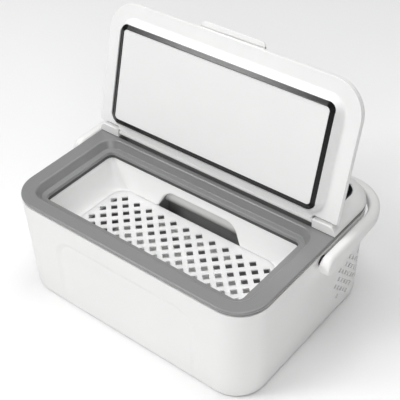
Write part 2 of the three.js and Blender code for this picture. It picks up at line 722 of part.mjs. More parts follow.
function controls() {
  const board = box(
    -BOARD_WIDTH / 2,
    BOARD_WIDTH / 2,
    panelMiddle - BOARD_DEPTH / 2,
    panelMiddle + BOARD_DEPTH / 2,
    boardTop - BOARD_THICK,
    boardTop,
  );
  const display = displayBox(0, boardTop + FIT, windowFoot - FIT);
  return [
    piece('control_board', board, BOARD_GREEN),
    piece('display_module', display, DARK_PLASTIC),
  ];
}

function pushKey(name) {
  const x = keyX(name);
  const capTop = DECK_TOP + WINDOW_PROUD + KEY_PROUD;
  const capFoot = roofInside + KEY_TRAVEL;
  const cap = rod('z', KEY_RADIUS, capFoot, capTop, x, panelMiddle);
  const stem = rod('z', KEY_STEM, boardTop + KEY_TRAVEL + FIT, capTop - CLEAR, x, panelMiddle);
  return piece(`key_${name}`, join(cap, stem), DARK_PLASTIC);
}

const hingePins = () =>
  [['left', -1], ['right', 1]].map(([name, side]) => {
    const ends = [side * (EAR_INNER - PIN_IN_LID), side * (EAR_INNER + PIN_IN_EAR)];
    const pin = rod('x', PIN_RADIUS, Math.min(...ends), Math.max(...ends), HINGE_Y, HINGE_Z, 16);
    return piece(`hinge_pin_${name}`, pin, STEEL);
  });

// The screen behind the recess, with a pad that fills the recess's upper part
function ductScreen(half, high) {
  const front = DUCT_BACK - SCREEN_REACH;
  const foot = RIM_TOP - PAD_FOOT_DROP;
  const side = new THREE.Shape();
  side.moveTo(SCREEN_BACK, foot);
  side.lineTo(SCREEN_BACK, high);
  side.lineTo(front, high);
  side.lineTo(front, foot + PAD_CURL);
  side.quadraticCurveTo(front, foot, front + PAD_CURL, foot);
  const pad = alongX(side, -half, half).intersect(alongY(ductShape(-FIT), front - CLEAR, SCREEN_BACK));
  return join(box(-half, half, DUCT_BACK + FIT, SCREEN_BACK, RIM_TOP - SCREEN_FOOT_DROP, high), pad);
}

// The cooler: screen and plate behind the recess, then the chip and the finned sink in the bay
function cooler() {
  const half = PLATE_WIDTH / 2;
  const low = COOLER_Z - PLATE_HEIGHT / 2;
  const high = COOLER_Z + PLATE_HEIGHT / 2;
  const plate = box(-half, half, SCREEN_BACK + FIT, PLATE_BACK, low, high);
  const chipX = CHIP_SIZE / 2;
  const chipZ = Math.min(CHIP_SIZE, PLATE_HEIGHT) / 2;
  const chip = box(-chipX, chipX, PLATE_BACK + FIT, CHIP_BACK, COOLER_Z - chipZ, COOLER_Z + chipZ);
  return [
    piece('duct_screen', ductScreen(half, high), WHITE),
    piece('cold_plate', plate, BARE_ALUMINIUM),
    piece('cooling_chip', chip, CERAMIC),
    piece('heat_sink', heatSink(), BARE_ALUMINIUM),
  ];
}

function heatSink() {
  const front = BAY_FRONT + FIT;
  const low = COOLER_Z - SINK_HEIGHT / 2;
  const base = front + SINK_BASE;
  const pitch = (SINK_HEIGHT - FIN_THICK) / (FIN_COUNT - 1);
  const shape = new THREE.Shape();
  shape.moveTo(front, low);
  for (let fin = 0; fin < FIN_COUNT; fin += 1) {
    const z = low + fin * pitch;
    if (fin > 0) shape.lineTo(base, z);
    shape.lineTo(base + FIN_LENGTH, z);
    shape.lineTo(base + FIN_LENGTH, z + FIN_THICK);
    if (fin < FIN_COUNT - 1) shape.lineTo(base, z + FIN_THICK);
  }
  shape.lineTo(front, low + SINK_HEIGHT);
  return alongX(shape, -SINK_WIDTH / 2, SINK_WIDTH / 2);
}

function fanFrame() {
  const half = FAN_SIZE / 2;
  const { inner, outer } = fanPlace;
  const block = box(inner, outer, FAN_Y - half, FAN_Y + half, FAN_HEIGHT - half, FAN_HEIGHT + half);
  const round = FAN_TIP + FAN_TIP_GAP;
  const tunnel = rod('x', round, inner - CLEAR, outer + CLEAR, FAN_Y, FAN_HEIGHT, 32);
  const motor = rod('x', FAN_HUB, inner, inner + BLADE_THICK, FAN_Y, FAN_HEIGHT);
  const armLength = round + FAN_TIP_GAP;
  const struts = [0, 1, 2].map((k) => {
    const arm = new THREE.BoxGeometry(BLADE_THICK, armLength, BLADE_THICK * 2);
    arm.translate(inner + BLADE_THICK / 2, armLength / 2, 0);
    arm.rotateX((k * 2 * Math.PI) / 3).translate(0, FAN_Y, FAN_HEIGHT);
    return solid(arm);
  });
  return piece('fan_frame', join(cut(block, tunnel), motor, ...struts), DARK_PLASTIC);
}

function fanRotor() {
  const from = fanPlace.inner + BLADE_THICK + FIT;
  const to = fanPlace.outer - CLEAR;
  const hub = rod('x', FAN_HUB, from, to, FAN_Y, FAN_HEIGHT);
  const pitch = THREE.MathUtils.degToRad(BLADE_PITCH);
  const chord = (to - from) / Math.sin(pitch) - 2 * BLADE_THICK;
  const blades = Array.from({ length: FAN_BLADES }, (_, k) => {
    const length = FAN_TIP - FAN_HUB + CLEAR;
    const blade = new THREE.BoxGeometry(BLADE_THICK, length, Math.min(chord, FAN_HUB));
    blade.rotateY(pitch);
    blade.translate((from + to) / 2, FAN_HUB - CLEAR + length / 2, 0);
    blade.rotateX((k * 2 * Math.PI) / FAN_BLADES).translate(0, FAN_Y, FAN_HEIGHT);
    return solid(blade);
  });
  return piece('fan_rotor', join(hub, ...blades), DARK_PLASTIC);
}

function dcInlet() {
  const sides = 16;
  const bar = (radius, from, to) => rod('y', radius, from, to, -INLET_OFFSET, INLET_HEIGHT, sides);
  const wallOuter = casePlanAt(INLET_HEIGHT).y1;
  const flangeFoot = casePlanAt(INLET_HEIGHT + INLET_FLANGE).y1 + FIT;
  const flange = bar(INLET_FLANGE, flangeFoot, flangeFoot + INLET_FLANGE_THICK);
  const barrel = bar(INLET_RADIUS, wallOuter - INLET_LENGTH, flangeFoot + CLEAR);
  const boreFoot = wallOuter - INLET_LENGTH + WALL;
  const bore = bar(INLET_BORE, boreFoot, BACK + INLET_FLANGE);
  const pin = bar(INLET_PIN, boreFoot - CLEAR, wallOuter - CLEAR);
  return piece('dc_inlet', join(cut(join(flange, barrel), bore), pin), DARK_PLASTIC);
}

// The lid is drawn closed, about its hinge axis, and then swung open
const closed = (p) => ({ ...p, y0: p.y0 - HINGE_Y, y1: p.y1 - HINGE_Y });
const lidFlange = RIM_TOP + LID_GAP - HINGE_Z;
const lidTop = DECK_TOP - HINGE_Z;
const lidPlan = plan(-HALF_WIDTH, HALF_WIDTH, FRONT - HINGE_Y, -LID_BACK, CORNER_RADIUS, SHARP);
const plugFoot = LEDGE_TOP + FIT + GASKET_PROUD - HINGE_Z;
const plugPlan = drawnIn(closed(recessPlan), PLUG_CLEAR);
const gasketPlan = {
  ...drawnIn(closed(recessPlan), GASKET_CLEAR),
  frontRadius: GASKET_RADIUS,
  backRadius: GASKET_RADIUS,
};
const linerTop = lidFlange + LINER_WALL;
const barrelHalf = EAR_INNER - FIT * 2;

function lidShell() {
  const foot = linerTop + FIT;
  const edgeTop = lidFlange + LID_EDGE;
  const rise = lidTop - edgeTop;
  const outside = loft([[foot, lidPlan], ...shoulder(lidPlan, edgeTop, rise, LID_SHOULDER)]);
  const insidePlan = drawnIn(lidPlan, WALL);
  const inside = loft([
    [foot - CLEAR, insidePlan],
    ...shoulder(insidePlan, edgeTop - FIT, rise - LID_SKIN + FIT, LID_SHOULDER - WALL),
  ]);
  const barrel = rod('x', BARREL_RADIUS, -barrelHalf, barrelHalf, 0, 0);
  const web = box(-barrelHalf, barrelHalf, -LID_BACK - CLEAR, 0, foot, edgeTop);
  const pinRoom = [-1, 1].map((side) => {
    const ends = [side * (barrelHalf + CLEAR), side * (EAR_INNER - PIN_IN_LID - FIT)];
    return rod('x', PIN_RADIUS + FIT, Math.min(...ends), Math.max(...ends), 0, 0, 16);
  });
  const front = lidPlan.y0;
  const half = TAB_WIDTH / 2;
  const tabPlan = plan(-half, half, front - TAB_REACH, front - FIT, TAB_REACH / 2, SHARP);
  const tab = slab(tabPlan, lidFlange - TAB_HANG, edgeTop);
  const tabRoot = box(-half, half, front - CLEAR, front + WALL / 2, foot, edgeTop);
  const whole = join(cut(outside, inside), barrel, web, tab, tabRoot);
  return piece('lid_shell', cut(whole, ...pinRoom), WHITE);
}

function lidLiner() {
  const flange = slab(lidPlan, lidFlange, linerTop);
  const apron = box(
    -barrelHalf,
    barrelHalf,
    -LID_BACK - CLEAR,
    -BARREL_RADIUS,
    lidFlange,
    linerTop,
  );
  const side = slope(plugPlan, plugFoot, lidFlange - plugFoot, RECESS_SLOPE, RECESS_EASE);
  const plug = loft([...side, [linerTop, side[side.length - 1][1]]]);
  const kept = plug.intersect(slab(lidPlan, plugFoot - CLEAR, linerTop));
  const hollowPlan = drawnIn(plugPlan, LINER_WALL + GASKET_WIDTH + FIT * 2);
  const hollow = slab(hollowPlan, plugFoot + LINER_WALL, linerTop + CLEAR);
  const grooveRoof = plugFoot + GASKET_THICK - GASKET_PROUD + FIT;
  const grooveOuter = slab(drawnIn(gasketPlan, -FIT), plugFoot - CLEAR, grooveRoof);
  const island = drawnIn(gasketPlan, GASKET_WIDTH + FIT);
  const grooveInner = slab(island, plugFoot - 2 * CLEAR, grooveRoof + CLEAR);
  const groove = cut(grooveOuter, grooveInner);
  return piece('lid_liner', cut(join(flange, apron, kept), hollow, groove), WHITE);
}

function lidGasket() {
  const foot = plugFoot - GASKET_PROUD;
  const ring = slab(gasketPlan, foot, foot + GASKET_THICK);
  const middle = slab(drawnIn(gasketPlan, GASKET_WIDTH), foot - CLEAR, foot + GASKET_THICK + CLEAR);
  return piece('lid_gasket', cut(ring, middle), BLACK_RUBBER);
}

function lidFoam() {
  const p = drawnIn(plugPlan, LINER_WALL + GASKET_WIDTH + FIT * 3);
  return piece('lid_foam', slab(p, plugFoot + LINER_WALL + FIT, LID_FOAM_TOP), FOAM);
}

function lid() {
  const group = new THREE.Group();
  group.position.set(0, HINGE_Y, HINGE_Z);
  group.rotation.x = -THREE.MathUtils.degToRad(LID_OPEN);
  group.add(lidShell(), lidLiner(), lidGasket(), lidFoam());
  return group;
}

// Stations of the handle, which lies folded back round the deck, from its right end to its
// left: place, outward way, middle height and half height
function handleStations() {
  const line = drawnIn(casePlan, -HANDLE_GAP - HANDLE_THICK / 2);
  const boss = HANDLE_BOSS / 2;
  const right = [];
  for (let k = 1; k <= ARC_STEPS; k += 1) {
    const turn = (k / ARC_STEPS) * (Math.PI / 2);
    const y = PIVOT_Y - boss * Math.cos(turn);
    right.push({ x: line.x1, y, wayX: 1, wayY: 0, z: PIVOT_Z, half: boss * Math.sin(turn) });
  }
  for (let k = 0; k <= ARC_STEPS; k += 1) {
    const turn = (k / ARC_STEPS) * (Math.PI / 2);
    const wayX = Math.cos(turn);
    const wayY = Math.sin(turn);
    const x = line.x1 - line.backRadius * (1 - wayX);
    const y = line.y1 - line.backRadius * (1 - wayY);
    right.push({ x, y, wayX, wayY, z: RIM_TOP - GRIP_DROP, half: GRIP_HEIGHT / 2 });
  }
  const left = right.map((station) => ({ ...station, x: -station.x, wayX: -station.wayX }));
  return [...right, ...left.reverse()];
}

// Points round the handle at a station, from its top edge outwards
function handleRing({ x, y, wayX, wayY, z, half }) {
  const thick = HANDLE_THICK / 2;
  const edge = Math.min(HANDLE_EDGE, half * 0.9);
  const steps = 3;
  return [[1, 1], [-1, 1], [-1, -1], [1, -1]].flatMap(([up, out], quarter) =>
    Array.from({ length: steps + 1 }, (_, k) => {
      const turn = ((quarter + k / steps) * Math.PI) / 2;
      const across = out * (thick - edge) + edge * Math.sin(turn);
      return [x + wayX * across, y + wayY * across, z + up * (half - edge) + edge * Math.cos(turn)];
    }),
  );
}

function handle() {
  const bail = skinned(handleStations().map(handleRing));
  const reach = HALF_WIDTH + HANDLE_GAP - FIT;
  const pins = [['left', -1], ['right', 1]].map(([name, way]) => {
    const ends = [way * (HALF_WIDTH - PIVOT_REACH), way * reach];
    const pin = rod('x', PIVOT_RADIUS, Math.min(...ends), Math.max(...ends), PIVOT_Y, PIVOT_Z);
    return piece(`handle_pin_${name}`, pin, DARK_PLASTIC);
  });
  return [piece('handle_bail', bail, WHITE), ...pins];
}

const coolingCase = new THREE.Group();
coolingCase.add(
  baseCover(),
  ...rubberFeet(),
  ...baseScrews(),
  housingShell(),
  rimFrame(),
  linerTub(),
  wellPan(),
  wellMat(),
  foamJacket(),
  trayPiece(),
  deckCover(),
  panelWindow(),
  ...controls(),
  pushKey('power'),
  pushKey('set'),
  ...hingePins(),
  ...cooler(),
  fanFrame(),
  fanRotor(),
  dcInlet(),
  lid(),
  ...handle(),
);

export default coolingCase;
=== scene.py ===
import math
from collections import namedtuple

import bmesh
import bpy
from mathutils import Matrix, Vector


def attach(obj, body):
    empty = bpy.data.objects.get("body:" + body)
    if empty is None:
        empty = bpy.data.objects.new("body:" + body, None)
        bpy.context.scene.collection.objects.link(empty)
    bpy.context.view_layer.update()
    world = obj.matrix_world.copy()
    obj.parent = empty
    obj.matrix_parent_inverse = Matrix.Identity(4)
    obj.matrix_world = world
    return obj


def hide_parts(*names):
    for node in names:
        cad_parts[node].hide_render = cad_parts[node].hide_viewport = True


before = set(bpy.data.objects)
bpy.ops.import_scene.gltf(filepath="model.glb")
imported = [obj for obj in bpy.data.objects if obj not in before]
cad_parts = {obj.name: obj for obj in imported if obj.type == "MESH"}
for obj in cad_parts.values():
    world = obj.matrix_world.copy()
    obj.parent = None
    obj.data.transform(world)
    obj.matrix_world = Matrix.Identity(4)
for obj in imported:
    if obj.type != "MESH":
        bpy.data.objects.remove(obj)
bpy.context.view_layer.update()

# The looks of a cooled case for insulin: white shell and lid, grey rim, lift-out tray.
# Sizes are in millimetres, as on the solids, and become metres where a mesh is made.
MM = 0.001

# Case
CASE_WIDTH = 230
CASE_DEPTH = 168.3
RIM_TOP = 90
CORNER_RADIUS = 26
SIDE_LEAN = 2.8
END_LEAN = 0.7
WALL = 2.4
FIT = 0.3
SHELL_FOOT_ROUND = 1.2

# Base
FOOT_RADIUS = 8
FOOT_HEIGHT = 2.6
FOOT_SHOW = 1
FOOT_INSET_X = 24
FOOT_INSET_Y = 20
FOOT_FACE = ((5.6, 0.6), (4.6, 0.5), (3.8, 0), (1.2, 0), (0.4, 0.25), (0, 0.9))  # in from the edge, up
PLINTH_HEIGHT = 3.6
PLINTH_STEP = 0.8
PLINTH_ROUND = 1
SCREW_RADIUS = 3
SCREW_HEIGHT = 1.8
SCREW_INSET_X = 52
SCREW_INSET_Y = 14
SCREW_FACE = ((0.8, 0), (0.3, 0.12), (0, 0.5))  # in from the edge, up

# Front panel
PANEL_WIDTH = 132
PANEL_DROP = 22.5
PANEL_RADIUS = 16
PANEL_SINK = 2
PANEL_EASE = 6
PANEL_CLEAR = 0.02

# Rim
RIM_BAND = 4
RIM_EDGE = 1.2
RIM_TUCK = 0.8
SIDE_LAND = 16
FRONT_LAND = 14.5
BACK_LAND = 6.3
RECESS_RADIUS = 10
RECESS_DROP = 6.5
RECESS_SLOPE = 4
RECESS_EASE = 1.2
LEDGE_WIDTH = 4.7
LEDGE_THICK = 2.5
LEDGE_EDGE = 0.7
LIP_DROP = 12
STRIP_HEIGHT = 2.6
STRIP_THICK = 0.2
STRIP_CLEAR = 0.01
TROUGH_SET = 0.9
TROUGH_DROP = 7

# Chamber and tray
LINER_WALL = 2
TUB_LEAN = 4.9
TUB_RADIUS = 13
TUB_FLOOR = 24
PAN_ROUND = 3.6
MAT_INSET = 4
MAT_THICK = 1.6
COVE_WIDTH = 8
COVE_RISE = 12.4
COVE_STEP = 0.9
COVE_STEP_RISE = 16.6
SEAT_WIDTH = 4
TRAY_DROP = 35.4
TRAY_THICK = 1.6
TRAY_PLAY = 0.06
HOLE_STEP = 6.5
HOLE_REACH = 3.5
HOLE_MARGIN_X = 6
HOLE_MARGIN_Y = 9.8
HOLE_SLACK = 0.1
DUCT_WIDTH = 82
DUCT_TOP_WIDTH = 66
DUCT_CORNER = 8
DUCT_TOP_DROP = 20.4
DUCT_FOOT_DROP = 54
DUCT_DEPTH = 8
DUCT_EASE = 1.6
SHADE_SKIN_CLEAR = 0.02
SHADE_SKIN_THICK = 0.2
SCREEN_THICK = 1.6
SCREEN_FOOT_DROP = 39
SCREEN_REACH = 7
PAD_FOOT_DROP = 35.8
PAD_CURL = 6.6
PAD_CURL_RISE = 9
PAD_SHADE = 10.5
PLATE_WIDTH = 92
PLATE_HEIGHT = 39

# Deck, hinge and control panel
DECK_DEPTH = 62.5
DECK_RISE = 11
DECK_SIDE = 1
SHOULDER_WIDTH = 15
DECK_ROOF = 3.6
EAR_WIDTH = 20
EAR_RISE = 8
EAR_DEPTH = 12
HINGE_SETBACK = 3.3
HINGE_RISE = 4.9
BARREL_RADIUS = 2.6
PIN_RADIUS = 1.2
PIN_IN_EAR = 13
PIN_IN_LID = 14
NOTCH_PLAY = 0.9
WINDOW_SIDE = 11
WINDOW_BACK = 14
WINDOW_DEPTH = 33
WINDOW_THICK = 2
WINDOW_RADIUS = 11
WINDOW_PROUD = 0.3
BOARD_WIDTH = 180
BOARD_DROP = 4
KEY_RADIUS = 6
KEY_STEM = 2.5
KEY_PROUD = 0.6
KEY_TRAVEL = 1
KEY_EDGE = 0.2
KEY_CAP = ((0, 0.6), (0.2, 0.2), (0.7, 0), (1.4, 0.08), (3, 0.2), (5, 0.24))  # in from the edge, down
KEY_FROM_END = {"power": 28, "set": 8}
PRINT_WIDTH = 0.55
PRINT_FOOT_DROP = 0.5
PRINT_TOP_DROP = 0.1
POWER_RING_RADIUS = 2.1
POWER_RING_START = 125
POWER_RING_SWEEP = 290
POWER_BAR = ((0, 0.6), (0, 2.7))
SET_CHEVRON = ((-2, -0.8), (0, 1.2), (2, -0.8))

# Lid
LID_OPEN = 105.8
LID_GAP = 1.4
LID_EDGE = 4
LID_BACK = 5.2
LID_SHOULDER = 16
LID_SKIN = 2.2
PLUG_CLEAR = 0.6
GASKET_CLEAR = 1.2
GASKET_WIDTH = 3.7
GASKET_THICK = 2.3
GASKET_PROUD = 0.5
GASKET_RADIUS = 7
GASKET_FALL = 1.5
GASKET_LIP_SHARE = 0.97
GASKET_LIP_RISE = 0.2
TAB_WIDTH = 58
TAB_REACH = 5

# Handle
HANDLE_GAP = 2.2
HANDLE_THICK = 8.5
HANDLE_EDGE = 3.2
HANDLE_EDGE_SHARE = 0.95
HANDLE_BOSS = 16.8
GRIP_HEIGHT = 11
GRIP_DROP = 6.8
PIVOT_DROP = 10
PIVOT_FROM_BACK = 78
PIVOT_RADIUS = 4

# Vents and power inlet
FAN_HEIGHT = 32
FAN_FROM_BACK = 33.5
VENT_RADIUS = 19.5
VENT_STEP = 4.6
VENT_REACH = 2.6
INLET_OFFSET = 75
INLET_HEIGHT = 24
INLET_RADIUS = 6
INLET_BORE = 3
INLET_PIN = 1
INLET_LENGTH = 14
INLET_FLANGE = 8
INLET_FLANGE_THICK = 1.5

# Rounded edges
CRISP_EDGE = 0.25
THIN_EDGE = 0.3
TRAY_EDGE = 0.35
FINE_EDGE = 0.4
SOFT_EDGE = 0.5
BROAD_EDGE = 0.6

# Fineness and clearances
CORNER_STEPS = 14
SHOULDER_STEPS = 8
SHARP = 0.4
CLEAR = 1
EASE_RUN_OUT = 0.4
WELD = 0.0001

# Worked out from the sizes above
HALF_WIDTH = CASE_WIDTH / 2
HANDLE_REACH = HANDLE_GAP + HANDLE_THICK
FRONT = -(CASE_DEPTH + HANDLE_REACH) / 2
BACK = FRONT + CASE_DEPTH
DECK_FRONT = BACK - DECK_DEPTH
DECK_TOP = RIM_TOP + DECK_RISE
SHELL_TOP = RIM_TOP - RIM_BAND - FIT
PLINTH_TOP = FOOT_SHOW + PLINTH_HEIGHT
SHELL_FOOT = PLINTH_TOP + FIT
LEDGE_TOP = RIM_TOP - RECESS_DROP
LIP_FOOT = RIM_TOP - LIP_DROP
TUB_TOP = LIP_FOOT - FIT
TRAY_FLOOR = RIM_TOP - TRAY_DROP
TRAY_FOOT = TRAY_FLOOR - TRAY_THICK
SEAT_TOP = TRAY_FOOT - FIT
PAN_TOP = SEAT_TOP - LINER_WALL - FIT
HINGE_Y = DECK_FRONT + HINGE_SETBACK
HINGE_Z = RIM_TOP + HINGE_RISE
EAR_INNER = HALF_WIDTH - EAR_WIDTH
NOTCH_BACK = HINGE_Y + BARREL_RADIUS + NOTCH_PLAY
PIVOT_Y = BACK - PIVOT_FROM_BACK
PIVOT_Z = RIM_TOP - PIVOT_DROP
FAN_Y = BACK - FAN_FROM_BACK

Plan = namedtuple("Plan", "x0 x1 y0 y1 front back")


# Shapes

def shares(steps):
    """Even shares from 0 to 1."""
    return [k / steps for k in range(steps + 1)]


def quarter_turn(steps):
    """Angles of a quarter circle in even steps."""
    return [share * math.pi / 2 for share in shares(steps)]


def bend(start, corner, end, t):
    """A coordinate on a curve that leaves its start towards a corner and comes from it to its end."""
    return start * (1 - t) ** 2 + 2 * corner * t * (1 - t) + end * t ** 2


def arc(radius, start, sweep, steps):
    """Points on a circle about the origin, over a sweep of degrees."""
    turns = [math.radians(start + sweep * share) for share in shares(steps)]
    return [(radius * math.cos(t), radius * math.sin(t)) for t in turns]


def plan(x0, x1, y0, y1, front, back=None):
    """A rectangle with rounded corners, seen from above."""
    return Plan(x0, x1, y0, y1, front, front if back is None else back)


def drawn_in(p, dx, dy=None):
    """The plan drawn in on every side, or let out where the amounts are negative."""
    dy = dx if dy is None else dy
    less = min(dx, dy)
    front = max(p.front - less, SHARP)
    back = max(p.back - less, SHARP)
    return Plan(p.x0 + dx, p.x1 - dx, p.y0 + dy, p.y1 - dy, front, back)


def outline(p):
    """Points round a plan, anticlockwise from its front right corner."""
    corners = (
        (p.x1 - p.front, p.y0 + p.front, p.front),
        (p.x1 - p.back, p.y1 - p.back, p.back),
        (p.x0 + p.back, p.y1 - p.back, p.back),
        (p.x0 + p.front, p.y0 + p.front, p.front),
    )
    points = []
    for quarter, (x, y, radius) in enumerate(corners):
        points += [(x + u, y + v) for u, v in arc(radius, 90 * (quarter - 1), 90, CORNER_STEPS)]
    return points


def shoulder(p, foot, rise, width, steps=SHOULDER_STEPS):
    """Levels of a rounded edge: upright at its foot and flat at its end."""
    turns = quarter_turn(steps)
    return [(foot + rise * math.sin(t), drawn_in(p, width * (1 - math.cos(t)))) for t in turns]


def rounded_foot(p, z, radius, steps=4):
    """Levels of a rounded lower edge, from its flat to its side."""
    return shoulder(p, z + radius, -radius, radius, steps)[::-1]


def rounded_top(p, z, radius, steps=4):
    """Levels of a rounded upper edge, from its side to its flat."""
    return shoulder(p, z - radius, radius, radius, steps)


def rounded_mouth(p, z, radius, steps=4):
    """Levels of the rounded upper edge of an opening, from its wall to the flat round it."""
    return shoulder(p, z - radius, radius, -radius, steps)


def slope(p, foot, rise, width, ease, steps=6):
    """Levels of a wall that slopes outwards as it rises, rounded into the flat at its top."""
    out, up = width - ease, rise - ease
    corner = out * rise / up
    end = width + EASE_RUN_OUT * ease
    levels = [(foot, p)]
    for t in shares(steps):
        across = bend(out, corner, end, t)
        levels.append((foot + bend(up, rise, rise, t), drawn_in(p, -across)))
    return levels


def new_piece(name, shape):
    """An object at the origin with the mesh that a bmesh holds."""
    bmesh.ops.remove_doubles(shape, verts=shape.verts, dist=WELD * MM)
    bmesh.ops.recalc_face_normals(shape, faces=shape.faces)
    mesh = bpy.data.meshes.new(name)
    shape.to_mesh(mesh)
    shape.free()
    piece = bpy.data.objects.new(name, mesh)
    bpy.context.scene.collection.objects.link(piece)
    return piece


def skin(name, rings, closed=False):
    """A surface over rings of points. A closed one joins its last ring to its first."""
    shape = bmesh.new()
    rows = [[shape.verts.new(Vector(point) * MM) for point in ring] for ring in rings]
    pairs = list(zip(rows, rows[1:]))
    if closed:
        pairs.append((rows[-1], rows[0]))
    for low, high in pairs:
        for i, corner in enumerate(low):
            j = (i + 1) % len(low)
            shape.faces.new((corner, low[j], high[j], high[i]))
    if not closed:
        shape.faces.new(rows[0][::-1])
        shape.faces.new(rows[-1])
    return new_piece(name, shape)


def loft(name, levels, closed=False):
    """A skin over plans, each level being (height, plan)."""
    return skin(name, [[(x, y, z) for x, y in outline(p)] for z, p in levels], closed)


def band(name, outer, inner, z0, z1):
    """A plain ring between two plans."""
    return loft(name, [(z0, outer), (z1, outer), (z1, inner), (z0, inner)], closed=True)


def slab(p, z0, z1):
    """A plan carried straight up, for cutting and joining."""
    return loft("slab", [(z0, p), (z1, p)])


def block(x0, x1, y0, y1, z0, z1):
    """A plain box for cutting."""
    low = [(x0, y0, z0), (x1, y0, z0), (x1, y1, z0), (x0, y1, z0)]
    return skin("block", [low, [(x, y, z1) for x, y, z in low]])


def rod(along, radius, start, end, a, b, sides=48):
    """A round bar along X, Y or Z; a and b are its place on the other two axes in order."""
    axis = "xyz".index(along)
    ring = [(a + u, b + v) for u, v in arc(radius, 0, 360, sides)[:-1]]
    return skin("rod", [[(*p[:axis], at, *p[axis:]) for p in ring] for at in (start, end)])


def turned(name, profile, x=0, y=0, sides=64):
    """A round piece about an upright axis; its profile is (radius, height) from its foot up."""
    rings = []
    for radius, z in profile:
        rings.append([(x + u, y + v, z) for u, v in arc(radius, 0, 360, sides)[:-1]])
    return skin(name, rings)


def settle(piece):
    """Turns a piece's modifiers into a plain mesh."""
    graph = bpy.context.evaluated_depsgraph_get()
    mesh = bpy.data.meshes.new_from_object(piece.evaluated_get(graph))
    piece.modifiers.clear()
    piece.data = mesh
    return piece


def combine(piece, others, operation):
    """Joins or cuts a piece with others, which are used up."""
    for other in others:
        step = piece.modifiers.new(operation.lower(), "BOOLEAN")
        step.operation = operation
        step.solver = "EXACT"
        step.object = other
    settle(piece)
    for other in others:
        bpy.data.objects.remove(other)
    return piece


def joined(piece, *others):
    return combine(piece, others, "UNION")


def cut(piece, *others):
    return combine(piece, others, "DIFFERENCE")


def softened(piece, width, segments=3, angle=40):
    """Rounds every edge that is sharper than the angle."""
    bevel = piece.modifiers.new("edges", "BEVEL")
    bevel.width = width * MM
    bevel.segments = segments
    bevel.limit_method = "ANGLE"
    bevel.angle_limit = math.radians(angle)
    bevel.use_clamp_overlap = False
    return settle(piece)


def dressed(piece, material, slot, *nodes, body="case", smooth=35):
    """Finishes a piece: shading, material, the body it moves with and the nodes it stands for."""
    piece.data.materials.clear()
    piece.data.materials.append(material)
    piece.data.shade_smooth()
    piece.data.set_sharp_from_angle(angle=math.radians(smooth))
    even = piece.modifiers.new("even_shading", "WEIGHTED_NORMAL")
    even.keep_sharp = True
    settle(piece)
    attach(piece, body)
    if nodes:
        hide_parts(*nodes)


# Nodes

def node(tree, kind, links=None, **settings):
    """Adds a node with its settings, and sets or links its inputs by name or number."""
    made = tree.nodes.new(kind)
    for name, value in settings.items():
        setattr(made, name, value)
    for name, value in (links or {}).items():
        if isinstance(value, bpy.types.NodeSocket):
            tree.links.new(value, made.inputs[name])
        else:
            made.inputs[name].default_value = value
    return made


def geometry_tree(name, **inputs):
    """An empty node tree for geometry with named inputs, and the sockets that give them."""
    tree = bpy.data.node_groups.new(name, "GeometryNodeTree")
    for label, kind in inputs.items():
        tree.interface.new_socket(
            name=label.replace("_", " "), in_out="INPUT", socket_type=f"NodeSocket{kind}")
    tree.interface.new_socket(name="Geometry", in_out="OUTPUT", socket_type="NodeSocketGeometry")
    return tree, node(tree, "NodeGroupInput").outputs


def finished(tree, geometry, material):
    """Ends a geometry tree: real meshes, in one material."""
    real = node(tree, "GeometryNodeRealizeInstances", {"Geometry": geometry})
    coloured = node(tree, "GeometryNodeSetMaterial", {
        "Geometry": real.outputs[0], "Material": material})
    node(tree, "NodeGroupOutput", {0: coloured.outputs[0]})


def grown(piece, tree, values):
    """Runs a geometry tree on a piece and keeps the result as its mesh."""
    step = piece.modifiers.new(tree.name, "NODES")
    step.node_group = tree
    for socket in tree.interface.items_tree:
        if socket.in_out == "INPUT" and socket.name in values:
            step[socket.identifier] = values[socket.name]
    return settle(piece)


